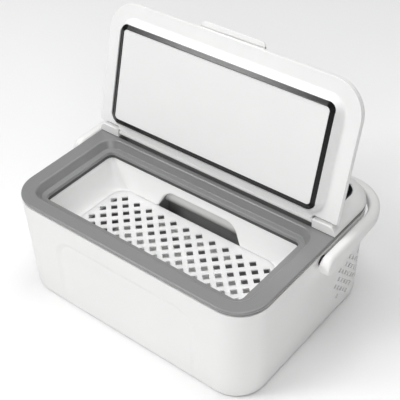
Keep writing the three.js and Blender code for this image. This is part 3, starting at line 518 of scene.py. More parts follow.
def perforation_tree():
    """Cuts a lattice of square holes, turned on their corners, through a piece."""
    tree, given = geometry_tree(
        "perforation", Body="Geometry", Step="Float", Reach="Float", Half_Width="Float",
        Half_Height="Float", Patch_Radius="Float", First_Hole="Vector", Turn="Rotation",
        Middle="Vector", Depth="Float", Material="Material")
    count = 41
    spread = math.sqrt(2) * (count - 1)
    side = node(tree, "ShaderNodeMath", {0: given["Step"], 1: spread}, operation="MULTIPLY").outputs[0]
    grid = node(tree, "GeometryNodeMeshGrid", {
        "Size X": side, "Size Y": side, "Vertices X": count, "Vertices Y": count})
    lattice = node(tree, "GeometryNodeTransform", {
        "Geometry": grid.outputs["Mesh"],
        "Rotation": (0, 0, math.pi / 4),
        "Translation": given["First Hole"],
    })
    where = node(tree, "GeometryNodeInputPosition").outputs[0]
    apart = node(tree, "ShaderNodeSeparateXYZ", {0: where})
    far = node(tree, "ShaderNodeVectorMath", {0: where}, operation="LENGTH")
    limits = [(far.outputs["Value"], "Patch Radius")]
    for axis, limit in (("X", "Half Width"), ("Y", "Half Height")):
        size = node(tree, "ShaderNodeMath", {0: apart.outputs[axis]}, operation="ABSOLUTE")
        limits.append((size.outputs[0], limit))
    unwanted = False
    for size, limit in limits:
        beyond = node(tree, "FunctionNodeCompare", {0: size, 1: given[limit]}).outputs[0]
        either = node(tree, "FunctionNodeBooleanMath", {0: unwanted, 1: beyond}, operation="OR")
        unwanted = either.outputs[0]
    places = node(tree, "GeometryNodeDeleteGeometry", {
        "Geometry": lattice.outputs[0], "Selection": unwanted}, domain="POINT")
    cutter = node(tree, "GeometryNodeMeshCylinder", {
        "Vertices": 4, "Radius": given["Reach"], "Depth": given["Depth"]})
    copies = node(tree, "GeometryNodeInstanceOnPoints", {
        "Points": places.outputs[0], "Instance": cutter.outputs["Mesh"]})
    real = node(tree, "GeometryNodeRealizeInstances", {"Geometry": copies.outputs[0]})
    placed = node(tree, "GeometryNodeTransform", {
        "Geometry": real.outputs[0], "Rotation": given["Turn"], "Translation": given["Middle"]})
    holed = node(tree, "GeometryNodeMeshBoolean", {
        "Mesh 1": given["Body"], "Mesh 2": placed.outputs[0]}, operation="DIFFERENCE", solver="EXACT")
    finished(tree, holed.outputs[0], given["Material"])
    return tree


def four_corners_tree():
    """Repeats a piece at the four corners of a rectangle."""
    tree, given = geometry_tree(
        "four_corners", Body="Geometry", Spread_X="Float", Spread_Y="Float", Middle="Vector",
        Material="Material")
    grid = node(tree, "GeometryNodeMeshGrid", {
        "Size X": given["Spread X"], "Size Y": given["Spread Y"], "Vertices X": 2, "Vertices Y": 2})
    places = node(tree, "GeometryNodeTransform", {
        "Geometry": grid.outputs["Mesh"], "Translation": given["Middle"]})
    copies = node(tree, "GeometryNodeInstanceOnPoints", {
        "Points": places.outputs[0], "Instance": given["Body"]})
    finished(tree, copies.outputs[0], given["Material"])
    return tree


# Materials

Look = namedtuple("Look", "material tree shader where")


def linear(code):
    """An sRGB hex colour as linear red, green, blue and alpha."""
    colour = []
    for i in (0, 2, 4):
        share = int(code[i:i + 2], 16) / 255
        colour.append(share / 12.92 if share <= 0.04045 else ((share + 0.055) / 1.055) ** 2.4)
    return (*colour, 1.0)


def per_mm(size):
    """A texture's scale for features of this size in millimetres."""
    return 1 / (size * MM)


def fresh_look(name, **sockets):
    """A material with its shader's sockets set, and where its patterns are read."""
    material = bpy.data.materials.new(name)
    material.use_nodes = True
    tree = material.node_tree
    shader = tree.nodes["Principled BSDF"]
    for label, value in sockets.items():
        shader.inputs[label.replace("_", " ")].default_value = value
    where = node(tree, "ShaderNodeTexCoord").outputs["Object"]
    return Look(material, tree, shader, where)


def noise(look, size, detail):
    """A cloudy pattern with features of this size."""
    links = {"Vector": look.where, "Scale": per_mm(size), "Detail": detail}
    return node(look.tree, "ShaderNodeTexNoise", links).outputs[0]


def toned(look, share, dark, light):
    """Lets the colour follow a pattern between two tones."""
    links = {0: share, 6: linear(dark), 7: linear(light)}
    tone = node(look.tree, "ShaderNodeMix", links, data_type="RGBA")
    look.tree.links.new(tone.outputs[2], look.shader.inputs["Base Color"])


def clouded(look, size, dark, light):
    """Lets the colour drift between two close tones in patches of this size."""
    patches = noise(look, size, 3.0)
    toned(look, patches, dark, light)
    return patches


def dulled(look, pattern, smooth, rough):
    """Lets the roughness follow a pattern between two values."""
    spread = node(look.tree, "ShaderNodeMapRange", {"Value": pattern, "To Min": smooth, "To Max": rough})
    look.tree.links.new(spread.outputs[0], look.shader.inputs["Roughness"])


def grained(look, pattern, depth):
    """Raises a pattern by a depth in millimetres."""
    bump = node(look.tree, "ShaderNodeBump", {"Height": pattern, "Distance": depth * MM, "Strength": 1.0})
    look.tree.links.new(bump.outputs[0], look.shader.inputs["Normal"])


def mottled(name, patch, tones, roughness, grain=None, **sockets):
    """A material whose colour and roughness drift together in patches. A grain has size, detail, depth."""
    look = fresh_look(name, **sockets)
    patches = clouded(look, patch, *tones)
    dulled(look, patches, *roughness)
    if grain:
        size, detail, depth = grain
        grained(look, noise(look, size, detail), depth)
    return look.material


def waxy_white(name, weight, scale, grain=None):
    """White polypropylene that lets some light in."""
    return mottled(
        name, 45, ("EEEEEE", "F4F4F3"), (0.3, 0.4), grain, IOR=1.49, Subsurface_Weight=weight,
        Subsurface_Scale=scale, Subsurface_Radius=(1, 1, 1))


def moulded_white_abs():
    # ABS from a finely eroded mould: broad soft highlights and a grain that only shows close to.
    # The real grain is about 0.1 mm and is drawn at 0.7 mm so that it shows.
    return mottled(
        "moulded_white_abs", 60, ("EDEDEC", "F3F3F2"), (0.5, 0.6), (0.7, 2.0, 0.012), IOR=1.53)


def smooth_white_pp():
    # Polypropylene, moulded smooth so that it wipes clean: slightly waxy, with long shallow ripples.
    return waxy_white("smooth_white_pp", 0.05, 0.002, (14, 1.0, 0.03))


def milky_pp():
    # Thin polypropylene sheet: white and smooth, and some light comes through it.
    return waxy_white("milky_pp", 0.9, 0.004)


def pale_grey_abs_painted_shade():
    # Off-white ABS with a dull finish, and painted shade that darkens it towards its foot in the recess.
    look = fresh_look("pale_grey_abs_painted_shade", IOR=1.53)
    foot = (RIM_TOP - PAD_FOOT_DROP) * MM
    height = node(look.tree, "ShaderNodeSeparateXYZ", {0: look.where}).outputs["Z"]
    shade = node(look.tree, "ShaderNodeMapRange", {
        "Value": height, "From Min": foot + MM, "From Max": foot + PAD_SHADE * MM,
    }, interpolation_type="SMOOTHSTEP")
    # The dark tone is painted shade, rising from the pad's foot.
    toned(look, shade.outputs[0], "6A6A69", "D6D6D5")
    dulled(look, noise(look, 40, 3.0), 0.45, 0.52)
    return look.material


def shade_strip_grey():
    # Dark grey and dull, in faint patches: painted shade for the gap between the rim's lip and the tub.
    return mottled("shade_strip_grey", 15, ("4C4C4C", "545454"), (0.6, 0.75), IOR=1.5)


def satin_grey_abs():
    # Grey ABS with a satin polish: blurred reflections of what stands over it.
    return mottled(
        "satin_grey_abs", 70, ("888888", "8B8B8B"), (0.28, 0.3), (0.6, 2.0, 0.006), IOR=1.53)


def black_silicone():
    # Moulded silicone rubber: near black, smooth enough for a soft bright streak.
    return mottled(
        "black_silicone", 12, ("121212", "181818"), (0.16, 0.24), (1.2, 2.0, 0.004), IOR=1.38)


def smoked_acrylic():
    # Polished acrylic over black print: a hard clear gloss with faint wiping marks.
    look = fresh_look("smoked_acrylic", IOR=1.49, Coat_Weight=0.6, Coat_Roughness=0.03)
    clouded(look, 30, "131416", "191A1C")
    dulled(look, noise(look, 9, 4.0), 0.05, 0.16)
    return look.material


def black_abs():
    # Black ABS with a coarse eroded texture, as on inner parts and sockets.
    return mottled("black_abs", 10, ("1B1B1C", "262627"), (0.45, 0.6), (0.8, 2.0, 0.04), IOR=1.53)


def foot_rubber():
    # Dull moulded rubber with a dusty bloom.
    return mottled("foot_rubber", 5, ("202020", "2E2D2C"), (0.7, 0.9), (0.8, 3.0, 0.05), IOR=1.52)


def milled_aluminium():
    # Bare aluminium, dulled by cold and damp, with fine mill lines along its length.
    look = fresh_look("milled_aluminium", Metallic=1.0)
    clouded(look, 25, "9C9D9F", "A6A7A8")
    stretched = node(look.tree, "ShaderNodeMapping", {"Vector": look.where, "Scale": (0.03, 1, 1)})
    lines = noise(look._replace(where=stretched.outputs[0]), 0.6, 3.0)
    dulled(look, lines, 0.34, 0.5)
    grained(look, lines, 0.01)
    return look.material


def zinc_plated_steel():
    # Zinc plate over steel: pale grey, softly mirrored, with a cloudy spangle.
    return mottled("zinc_plated_steel", 2, ("B4B6B9", "CACBCC"), (0.22, 0.38), Metallic=1.0)


def solder_mask_board():
    # Glass-epoxy board under green solder mask, marked out by slightly darker tracks.
    look = fresh_look("solder_mask_board", IOR=1.55)
    tracks = node(look.tree, "ShaderNodeTexBrick", {
        "Vector": look.where, "Scale": per_mm(9), "Color1": linear("1F6A45"),
        "Color2": linear("1A5C3B"), "Mortar": linear("174E33"), "Mortar Size": 0.03})
    look.tree.links.new(tracks.outputs[0], look.shader.inputs["Base Color"])
    dulled(look, tracks.outputs[1], 0.35, 0.5)
    return look.material


def fired_alumina():
    # Unglazed alumina ceramic: chalky white and dull.
    return mottled("fired_alumina", 6, ("E4E1DA", "EEECE6"), (0.55, 0.7), IOR=1.76)


def closed_cell_foam():
    # Cut polyethylene foam: white, dull and pitted by cells of about a millimetre.
    look = fresh_look("closed_cell_foam", IOR=1.45)
    clouded(look, 20, "E9E9E7", "F1F1EF")
    cells = node(look.tree, "ShaderNodeTexVoronoi", {"Vector": look.where, "Scale": per_mm(1.5)})
    dulled(look, cells.outputs[0], 0.85, 1.0)
    grained(look, cells.outputs[0], 0.3)
    return look.material


def pale_print():
    # Pale grey ink printed on a key.
    return mottled("pale_print", 3, ("C2C4C6", "CCCECF"), (0.5, 0.6), IOR=1.5)


WHITE = moulded_white_abs()
SMOOTH_WHITE = smooth_white_pp()
MILKY = milky_pp()
PALE_GREY_PAINTED_SHADE = pale_grey_abs_painted_shade()
SHADE_STRIP_GREY = shade_strip_grey()
GREY = satin_grey_abs()
SILICONE = black_silicone()
ACRYLIC = smoked_acrylic()
BLACK = black_abs()
RUBBER = foot_rubber()
ALUMINIUM = milled_aluminium()
ZINC = zinc_plated_steel()
BOARD = solder_mask_board()
CERAMIC = fired_alumina()
FOAM = closed_cell_foam()
PRINT = pale_print()
PERFORATION = perforation_tree()
FOUR_CORNERS = four_corners_tree()


# Case

case_plan = plan(-HALF_WIDTH, HALF_WIDTH, FRONT, BACK, CORNER_RADIUS)


def case_plan_at(z):
    """The case's outside at a height: full size at the rim, leaning in to the foot."""
    share = (SHELL_TOP - z) / (SHELL_TOP - SHELL_FOOT)
    leaned = drawn_in(case_plan, SIDE_LEAN * share, END_LEAN * share)
    return leaned._replace(front=CORNER_RADIUS, back=CORNER_RADIUS)


plinth_plan = drawn_in(case_plan_at(SHELL_FOOT), PLINTH_STEP)
recess_plan = plan(
    -HALF_WIDTH + SIDE_LAND, HALF_WIDTH - SIDE_LAND,
    FRONT + FRONT_LAND, DECK_FRONT - BACK_LAND, RECESS_RADIUS,
)
mouth_plan = drawn_in(recess_plan, LEDGE_WIDTH)
bay_plan = drawn_in(case_plan, WALL)._replace(y0=DECK_FRONT + EAR_DEPTH, front=SHARP)


def at_corners(piece, inset_x, inset_y, material):
    """Repeats a piece at four places near the plinth's corners."""
    middle = (plinth_plan.y0 + plinth_plan.y1) / 2
    return grown(piece, FOUR_CORNERS, {
        "Spread X": (plinth_plan.x1 - plinth_plan.x0 - 2 * inset_x) * MM,
        "Spread Y": (plinth_plan.y1 - plinth_plan.y0 - 2 * inset_y) * MM,
        "Middle": (0, middle * MM, 0),
        "Material": material,
    })


def corner_names(kind):
    return [f"{kind}_{end}_{side}" for end in ("front", "back") for side in ("left", "right")]


def base_cover():
    cover = loft("base_cover_skin", [
        *rounded_foot(plinth_plan, FOOT_SHOW, PLINTH_ROUND),
        *rounded_top(plinth_plan, PLINTH_TOP, FINE_EDGE, 3),
    ])
    pockets = (
        (FOOT_RADIUS + FIT, FOOT_HEIGHT + FIT, FOOT_INSET_X, FOOT_INSET_Y),
        (SCREW_RADIUS + FIT, FOOT_SHOW + FIT + SCREW_HEIGHT + FIT, SCREW_INSET_X, SCREW_INSET_Y),
    )
    for radius, top, inset_x, inset_y in pockets:
        pocket = rod("z", radius, FOOT_SHOW - CLEAR, top, 0, 0)
        cut(cover, at_corners(pocket, inset_x, inset_y, WHITE))
    softened(cover, CRISP_EDGE, 2, 60)
    dressed(cover, WHITE, "white_plastic", "base_cover")


def rubber_feet():
    face = [(FOOT_RADIUS - inset, rise) for inset, rise in FOOT_FACE]
    foot = turned("rubber_feet", [*face, (FOOT_RADIUS, FOOT_HEIGHT)])
    at_corners(foot, FOOT_INSET_X, FOOT_INSET_Y, RUBBER)
    dressed(foot, RUBBER, "foot_rubber", *corner_names("foot"))


def base_screws():
    z = FOOT_SHOW + FIT
    face = [(SCREW_RADIUS - inset, z + rise) for inset, rise in SCREW_FACE]
    screw = turned("base_screws", [*face, (SCREW_RADIUS, z + SCREW_HEIGHT)])
    slot = block(-SCREW_RADIUS, SCREW_RADIUS, -FIT, FIT, z - CLEAR, z + CLEAR)
    cut(screw, slot)
    at_corners(screw, SCREW_INSET_X, SCREW_INSET_Y, ZINC)
    dressed(screw, ZINC, "steel", *corner_names("base_screw"))


def arch(spread):
    """Outline of the front panel, let out by a spread, as points in X and Z."""
    half = PANEL_WIDTH / 2 + spread
    top = RIM_TOP - PANEL_DROP + spread
    radius = PANEL_RADIUS + spread
    corner = arc(radius, 0, 90, CORNER_STEPS)
    points = [(half, 0), *[(half - radius + u, top - radius + v) for u, v in corner]]
    return points + [(-x, z) for x, z in points[::-1]]


def front_panel_cutter():
    """A shallow tool that is deepest under the arch's top, where its sides ease into the leaning
    face and are softly shaded, and that runs out to nothing at the foot."""
    rings = []
    top = RIM_TOP - PANEL_DROP
    for t in shares(10):
        sunk = 1 - t * t * (3 - 2 * t)
        ring = []
        for x, z in arch(PANEL_EASE * (t - 0.5)):
            ring.append((x, case_plan_at(z).y0 + PANEL_SINK * sunk * z / top - PANEL_CLEAR * t, z))
        rings.append(ring)
    rings.append([(x, FRONT - CLEAR, z) for x, y, z in rings[-1]])
    return skin("front_panel", rings)


def housing_shell():
    top = case_plan_at(SHELL_TOP)
    shell = loft("housing_shell_skin", [
        *rounded_foot(case_plan_at(SHELL_FOOT), SHELL_FOOT, SHELL_FOOT_ROUND),
        *rounded_top(top, SHELL_TOP, SOFT_EDGE, 3),
        (SHELL_TOP, drawn_in(top, WALL)),
        (SHELL_FOOT, drawn_in(case_plan_at(SHELL_FOOT), WALL)),
    ], closed=True)
    reach = HALF_WIDTH + CLEAR
    pivots = rod("x", PIVOT_RADIUS + FIT, -reach, reach, PIVOT_Y, PIVOT_Z)
    inlet = rod("y", INLET_RADIUS + FIT, BACK - WALL * 3, BACK + CLEAR, -INLET_OFFSET, INLET_HEIGHT)
    cut(shell, front_panel_cutter(), pivots, inlet)
    softened(shell, THIN_EDGE, 2, 35)
    grown(shell, PERFORATION, {
        "Step": VENT_STEP * MM,
        "Reach": VENT_REACH * MM,
        "Half Width": VENT_RADIUS * MM,
        "Half Height": VENT_RADIUS * MM,
        "Patch Radius": (VENT_RADIUS + HOLE_SLACK) * MM,
        "Turn": (0, math.pi / 2, 0),
        "Middle": (0, FAN_Y * MM, FAN_HEIGHT * MM),
        "Depth": 2 * reach * MM,
        "Material": WHITE,
    })
    dressed(shell, WHITE, "white_plastic", "housing_shell")


def trough(wall, top):
    """The trough behind the rim that the lid's barrel turns over."""
    side = EAR_INNER + wall
    front = DECK_FRONT + TROUGH_SET - wall
    return block(-side, side, front, NOTCH_BACK + wall, RIM_TOP - TROUGH_DROP - wall, top)


def rim_frame():
    foot = RIM_TOP - RIM_BAND
    lip = drawn_in(mouth_plan, -LEDGE_THICK)
    collar = drawn_in(recess_plan, -LEDGE_THICK)
    rim = loft("rim_frame_skin", [
        *rounded_foot(drawn_in(case_plan, RIM_TUCK), foot, FINE_EDGE, 3),
        *rounded_top(case_plan, RIM_TOP, RIM_EDGE, 5),
        *slope(recess_plan, LEDGE_TOP, RECESS_DROP, RECESS_SLOPE, RECESS_EASE)[::-1],
        *rounded_mouth(mouth_plan, LEDGE_TOP, LEDGE_EDGE)[::-1],
        (LIP_FOOT, mouth_plan),
        (LIP_FOOT, lip),
        (LEDGE_TOP - LEDGE_THICK, lip),
        (LEDGE_TOP - LEDGE_THICK, collar),
        (foot, collar),
    ], closed=True)
    joined(rim, trough(LINER_WALL, foot + CLEAR))
    cut(rim, slab(bay_plan, foot - CLEAR, RIM_TOP + CLEAR), trough(0, RIM_TOP + CLEAR))
    softened(rim, SOFT_EDGE, angle=60)
    dressed(rim, GREY, "grey_plastic", "rim_frame")


def mouth_strip():
    """A thin dark strip round the chamber's mouth, where the rim's lip meets the tub: painted shade for
    the shaded gap there.
    """
    outer = drawn_in(mouth_plan, STRIP_CLEAR)
    inner = drawn_in(mouth_plan, STRIP_THICK)
    strip = band("mouth_strip", outer, inner, LIP_FOOT, LIP_FOOT + STRIP_HEIGHT)
    dressed(strip, SHADE_STRIP_GREY, "dark_plastic")


# Chamber and tray

def tub_plan_at(z):
    """The tub's inside at a height: its walls lean in and its corners grow rounder downwards."""
    share = (TUB_TOP - z) / (TUB_TOP - TRAY_FLOOR)
    radius = mouth_plan.back + (TUB_RADIUS - mouth_plan.back) * share
    return drawn_in(mouth_plan, TUB_LEAN * share)._replace(front=radius, back=radius)


pocket_plan = drawn_in(tub_plan_at(TRAY_FLOOR), COVE_WIDTH, 0)
tray_plan = drawn_in(pocket_plan, TRAY_PLAY)
well_plan = drawn_in(pocket_plan, SEAT_WIDTH)
duct_back = mouth_plan.y1 + DUCT_DEPTH


def cove(steps=12):
    """Levels of the hollow curve from the tub's ends to the tray's floor, from the floor up,
    with the fine step in the wall above it."""
    levels = []
    for turn in quarter_turn(steps):
        z = TRAY_FLOOR + COVE_RISE * (1 - math.cos(turn))
        inset = COVE_STEP + (COVE_WIDTH - COVE_STEP) * (1 - math.sin(turn))
        levels.append((z, drawn_in(tub_plan_at(z), inset, 0)))
    for rise, inset in ((COVE_STEP_RISE, COVE_STEP), (COVE_STEP_RISE + COVE_STEP, 0)):
        z = TRAY_FLOOR + rise
        levels.append((z, drawn_in(tub_plan_at(z), inset, 0)))
    return levels


def duct_outline(extra):
    """Round the recess in the tub's back wall: straight foot, leaning sides, round top corners."""
    half = DUCT_WIDTH / 2 + extra
    top_half = DUCT_TOP_WIDTH / 2 + extra
    top = RIM_TOP - DUCT_TOP_DROP + extra
    share = DUCT_CORNER / math.hypot(half - top_half, top - TRAY_FLOOR)
    side_x = top_half + (half - top_half) * share
    side_z = top - (top - TRAY_FLOOR) * share
    points = [(half, RIM_TOP - DUCT_FOOT_DROP - extra), (half, TRAY_FLOOR)]
    for t in shares(10):
        x = bend(side_x, top_half, top_half - DUCT_CORNER, t)
        points.append((x, bend(side_z, top, top, t)))
    return points + [(-x, z) for x, z in points[::-1]]


def duct_at(y, extra):
    """The recess's outline on an upright plane."""
    return [(x, y, z) for x, z in duct_outline(extra)]


def duct_on_wall(depth, extra):
    """The recess's outline at a depth behind the tub's leaning back wall."""
    return [(x, tub_plan_at(max(z, TRAY_FLOOR)).y1 + depth, z) for x, z in duct_outline(extra)]


def duct_cutter():
    """The recess with a rounded mouth."""
    rings = [duct_on_wall(-SEAT_WIDTH - CLEAR, DUCT_EASE)]
    for turn in quarter_turn(6):
        rings.append(duct_on_wall(DUCT_EASE * (1 - math.cos(turn)), DUCT_EASE * (1 - math.sin(turn))))
    return skin("duct", [*rings, duct_at(duct_back + CLEAR, 0)])


def liner_tub():
    out = -LINER_WALL
    foot = SEAT_TOP - LINER_WALL
    tub = loft("liner_tub_skin", [
        (foot, drawn_in(tub_plan_at(SEAT_TOP), out)),
        (TUB_TOP, drawn_in(mouth_plan, out)),
        *rounded_mouth(mouth_plan, TUB_TOP, BROAD_EDGE, 3)[::-1],
        *cove()[::-1],
        (SEAT_TOP, pocket_plan),
        *rounded_mouth(well_plan, SEAT_TOP, BROAD_EDGE, 3)[::-1],
        (foot, well_plan),
    ], closed=True)
    surround = skin("surround", [duct_on_wall(CLEAR, LINER_WALL), duct_at(duct_back, LINER_WALL)])
    joined(tub, surround)
    cut(tub, duct_cutter())
    dressed(tub, SMOOTH_WHITE, "white_plastic", "liner_tub", smooth=40)


def duct_shade_skin():
    """A thin grey skin on the recess's walls, behind its rounded mouth, that paints the shade on those
    walls.
    """
    shade_skin = skin("duct_shade_skin", [
        duct_on_wall(DUCT_EASE, -SHADE_SKIN_CLEAR),
        duct_at(duct_back, -SHADE_SKIN_CLEAR),
        duct_at(duct_back, -SHADE_SKIN_THICK),
        duct_on_wall(DUCT_EASE, -SHADE_SKIN_THICK),
    ], closed=True)
    # Its grey is painted shade on the recess's white walls.
    dressed(shade_skin, GREY, "grey_plastic")


def well_pan():
    out = drawn_in(well_plan, -LINER_WALL)
    pan = loft("well_pan_skin", [
        *rounded_foot(out, TUB_FLOOR - LINER_WALL, PAN_ROUND, 5),
        *rounded_top(out, PAN_TOP, FINE_EDGE, 3),
        *rounded_mouth(well_plan, PAN_TOP, FINE_EDGE, 3)[::-1],
        *rounded_foot(well_plan, TUB_FLOOR, PAN_ROUND, 6)[::-1],
    ])
    gap = LINER_WALL + FIT
    ends = (well_plan.y1 - PAN_ROUND / 2, well_plan.y1 + LINER_WALL + CLEAR)
    cut(pan, skin("gap", [duct_at(y, gap) for y in ends]))
    # The pan is grey so that its walls, seen through the tray's holes, read darker than the white mat on
    # its floor: painted shade.
    dressed(pan, GREY, "grey_plastic", "well_pan", smooth=40)


def well_mat():
    p = drawn_in(well_plan, MAT_INSET)
    foot = TUB_FLOOR + FIT
    mat = loft("well_mat_skin", [(foot, p), *rounded_top(p, foot + MAT_THICK, SOFT_EDGE, 3)])
    dressed(mat, FOAM, "foam", "well_mat")


def duct_screen():
    """A pale screen behind the recess, with a pad that fills the recess's upper part; the pad's lower part
    carries painted shade.
    """
    half = PLATE_WIDTH / 2
    plate_front = duct_back + FIT
    plate_back = plate_front + SCREEN_THICK
    top = RIM_TOP - (DUCT_TOP_DROP + DUCT_FOOT_DROP) / 2 + PLATE_HEIGHT / 2
    front = duct_back - SCREEN_REACH
    foot = RIM_TOP - PAD_FOOT_DROP
    side = [(plate_back, foot), (plate_back, top), (front, top)]
    for t in shares(12):
        side.append((front + PAD_CURL * t ** 2, foot + PAD_CURL_RISE * (1 - t) ** 2))
    screen = skin("duct_screen_skin", [[(x, y, z) for y, z in side] for x in (-half, half)])
    filling = skin("filling", [duct_at(y, -FIT) for y in (front - CLEAR, plate_back)])
    combine(screen, [filling], "INTERSECT")
    joined(screen, block(-half, half, plate_front, plate_back, RIM_TOP - SCREEN_FOOT_DROP, top))
    dressed(screen, PALE_GREY_PAINTED_SHADE, "white_plastic", "duct_screen", smooth=40)


def lift_out_tray():
    tray = slab(drawn_in(tray_plan, -CLEAR), TRAY_FOOT, TRAY_FLOOR)
    tray.name = "tray_skin"
    columns = math.floor((tray_plan.x1 - tray_plan.x0 - 2 * HOLE_MARGIN_X) / HOLE_STEP)
    rows = math.floor((tray_plan.y1 - tray_plan.y0 - 2 * HOLE_MARGIN_Y) / HOLE_STEP)
    half_width = columns * HOLE_STEP / 2
    half_height = rows * HOLE_STEP / 2
    middle_y = tray_plan.y1 - HOLE_MARGIN_Y - half_height
    grown(tray, PERFORATION, {
        "Step": HOLE_STEP * MM,
        "Reach": HOLE_REACH * MM,
        "Half Width": (half_width + HOLE_SLACK) * MM,
        "Half Height": (half_height + HOLE_SLACK) * MM,
        "Patch Radius": CASE_WIDTH * MM,
        "First Hole": ((HOLE_STEP - half_width) * MM, half_height * MM, 0),
        "Turn": (0, 0, 0),
        "Middle": (0, middle_y * MM, TRAY_FOOT * MM),
        "Depth": 4 * TRAY_THICK * MM,
        "Material": MILKY,
    })
    softened(tray, TRAY_EDGE, 2)
    combine(tray, [slab(tray_plan, TRAY_FOOT - CLEAR, TRAY_FLOOR + CLEAR)], "INTERSECT")
    dressed(tray, MILKY, "white_plastic", "tray", body="tray")


# Deck

window_plan = plan(
    -HALF_WIDTH + WINDOW_SIDE, HALF_WIDTH - WINDOW_SIDE,
    BACK - WINDOW_BACK - WINDOW_DEPTH, BACK - WINDOW_BACK, WINDOW_RADIUS,
)
window_foot = DECK_TOP + WINDOW_PROUD - WINDOW_THICK
roof_inside = DECK_TOP - DECK_ROOF
panel_middle = (window_plan.y0 + window_plan.y1) / 2


def key_x(name):
    return BOARD_WIDTH / 2 - KEY_FROM_END[name]


def key_holes(z0, z1):
    return [rod("z", KEY_RADIUS + FIT, z0, z1, key_x(name), panel_middle) for name in KEY_FROM_END]


def deck_cover():
    p = case_plan._replace(y0=DECK_FRONT - SHOULDER_WIDTH, front=SHARP)
    side = RIM_TOP + DECK_SIDE
    deck = loft("deck_cover_skin", [
        *rounded_foot(p, RIM_TOP + FIT, FINE_EDGE, 3),
        *shoulder(p, side, DECK_RISE - DECK_SIDE, SHOULDER_WIDTH, 14),
    ])
    hollow = loft("hollow", [
        (RIM_TOP - CLEAR, bay_plan),
        *shoulder(bay_plan, side, roof_inside - side, SHOULDER_WIDTH),
    ])
    far = HALF_WIDTH + CLEAR
    above = DECK_TOP + CLEAR
    ear_back = DECK_FRONT + EAR_DEPTH
    ahead = block(-far, far, p.y0 - CLEAR, DECK_FRONT, RIM_TOP, above)
    over_ears = block(-far, far, DECK_FRONT - CLEAR, ear_back, RIM_TOP + EAR_RISE, above)
    notch = block(-EAR_INNER, EAR_INNER, DECK_FRONT - CLEAR, NOTCH_BACK, RIM_TOP, above)
    reach = EAR_INNER + PIN_IN_EAR + FIT
    bore = rod("x", PIN_RADIUS + FIT, -reach, reach, HINGE_Y, HINGE_Z)
    pocket = slab(drawn_in(window_plan, -FIT), window_foot - FIT, above)
    holes = key_holes(roof_inside - CLEAR, DECK_TOP)
    cut(deck, hollow, ahead, over_ears, notch, bore, pocket, *holes)
    softened(deck, BROAD_EDGE)
    dressed(deck, WHITE, "white_plastic", "deck_cover")


def panel_window():
    window = loft("panel_window_skin", [
        (window_foot, window_plan),
        *rounded_top(window_plan, DECK_TOP + WINDOW_PROUD, SOFT_EDGE, 3),
    ])
    cut(window, *key_holes(window_foot - CLEAR, DECK_TOP + CLEAR))
    softened(window, CRISP_EDGE, 2, 50)
    dressed(window, ACRYLIC, "dark_panel", "panel_window")


key_top = DECK_TOP + WINDOW_PROUD + KEY_PROUD


def push_key(name):
    """A key with a softly dished cap and a stem down to the board."""
    board = roof_inside - BOARD_DROP
    cap_foot = roof_inside + KEY_TRAVEL
    key = turned(f"key_{name}_skin", [
        (KEY_STEM, board + KEY_TRAVEL + FIT),
        (KEY_STEM, cap_foot),
        (KEY_RADIUS - KEY_EDGE, cap_foot),
        (KEY_RADIUS, cap_foot + KEY_EDGE),
        *[(KEY_RADIUS - inset, key_top - drop) for inset, drop in KEY_CAP],
    ], key_x(name), panel_middle)
    dressed(key, BLACK, "dark_plastic", f"key_{name}", body=f"{name}_key")


def printed_line(name, points):
    """A pale line on a key, along points in X and Y about the key's middle."""
    low = key_top - PRINT_FOOT_DROP
    high = key_top - PRINT_TOP_DROP
    rings = []
    for i, (x, y) in enumerate(points):
        before = points[max(i - 1, 0)]
        after = points[min(i + 1, len(points) - 1)]
        way = Vector((after[0] - before[0], after[1] - before[1])).normalized() * PRINT_WIDTH / 2
        left = (key_x(name) + x - way.y, panel_middle + y + way.x)
        right = (key_x(name) + x + way.y, panel_middle + y - way.x)
        rings.append([(*left, low), (*right, low), (*right, high), (*left, high)])
    line = skin(f"{name}_key_print", rings)
    dressed(line, PRINT, "white_plastic", body=f"{name}_key")


def key_prints():
    """An open ring with a bar on one key, and a plain chevron on the other."""
    printed_line("power", arc(POWER_RING_RADIUS, POWER_RING_START, POWER_RING_SWEEP, 24))
    printed_line("power", POWER_BAR)
    printed_line("set", SET_CHEVRON)


# Lid, drawn closed about its hinge axis and then swung open

LID_AT_REST = (
    Matrix.Translation(Vector((0, HINGE_Y, HINGE_Z)) * MM)
    @ Matrix.Rotation(-math.radians(LID_OPEN), 4, "X")
)
lid_flange = RIM_TOP + LID_GAP - HINGE_Z
lid_top = DECK_TOP - HINGE_Z
lid_edge_top = lid_flange + LID_EDGE
liner_top = lid_flange + LINER_WALL
lid_plan = plan(-HALF_WIDTH, HALF_WIDTH, FRONT - HINGE_Y, -LID_BACK, CORNER_RADIUS, SHARP)
plug_foot = LEDGE_TOP + FIT + GASKET_PROUD - HINGE_Z
barrel_half = EAR_INNER - FIT * 2


def closed_lid(p):
    """A plan of the case as the closed lid's hinge axis sees it."""
    return p._replace(y0=p.y0 - HINGE_Y, y1=p.y1 - HINGE_Y)


plug_plan = drawn_in(closed_lid(recess_plan), PLUG_CLEAR)
gasket_plan = drawn_in(closed_lid(recess_plan), GASKET_CLEAR)
gasket_plan = gasket_plan._replace(front=GASKET_RADIUS, back=GASKET_RADIUS)


def opened(piece):
    piece.data.transform(LID_AT_REST)
    return piece


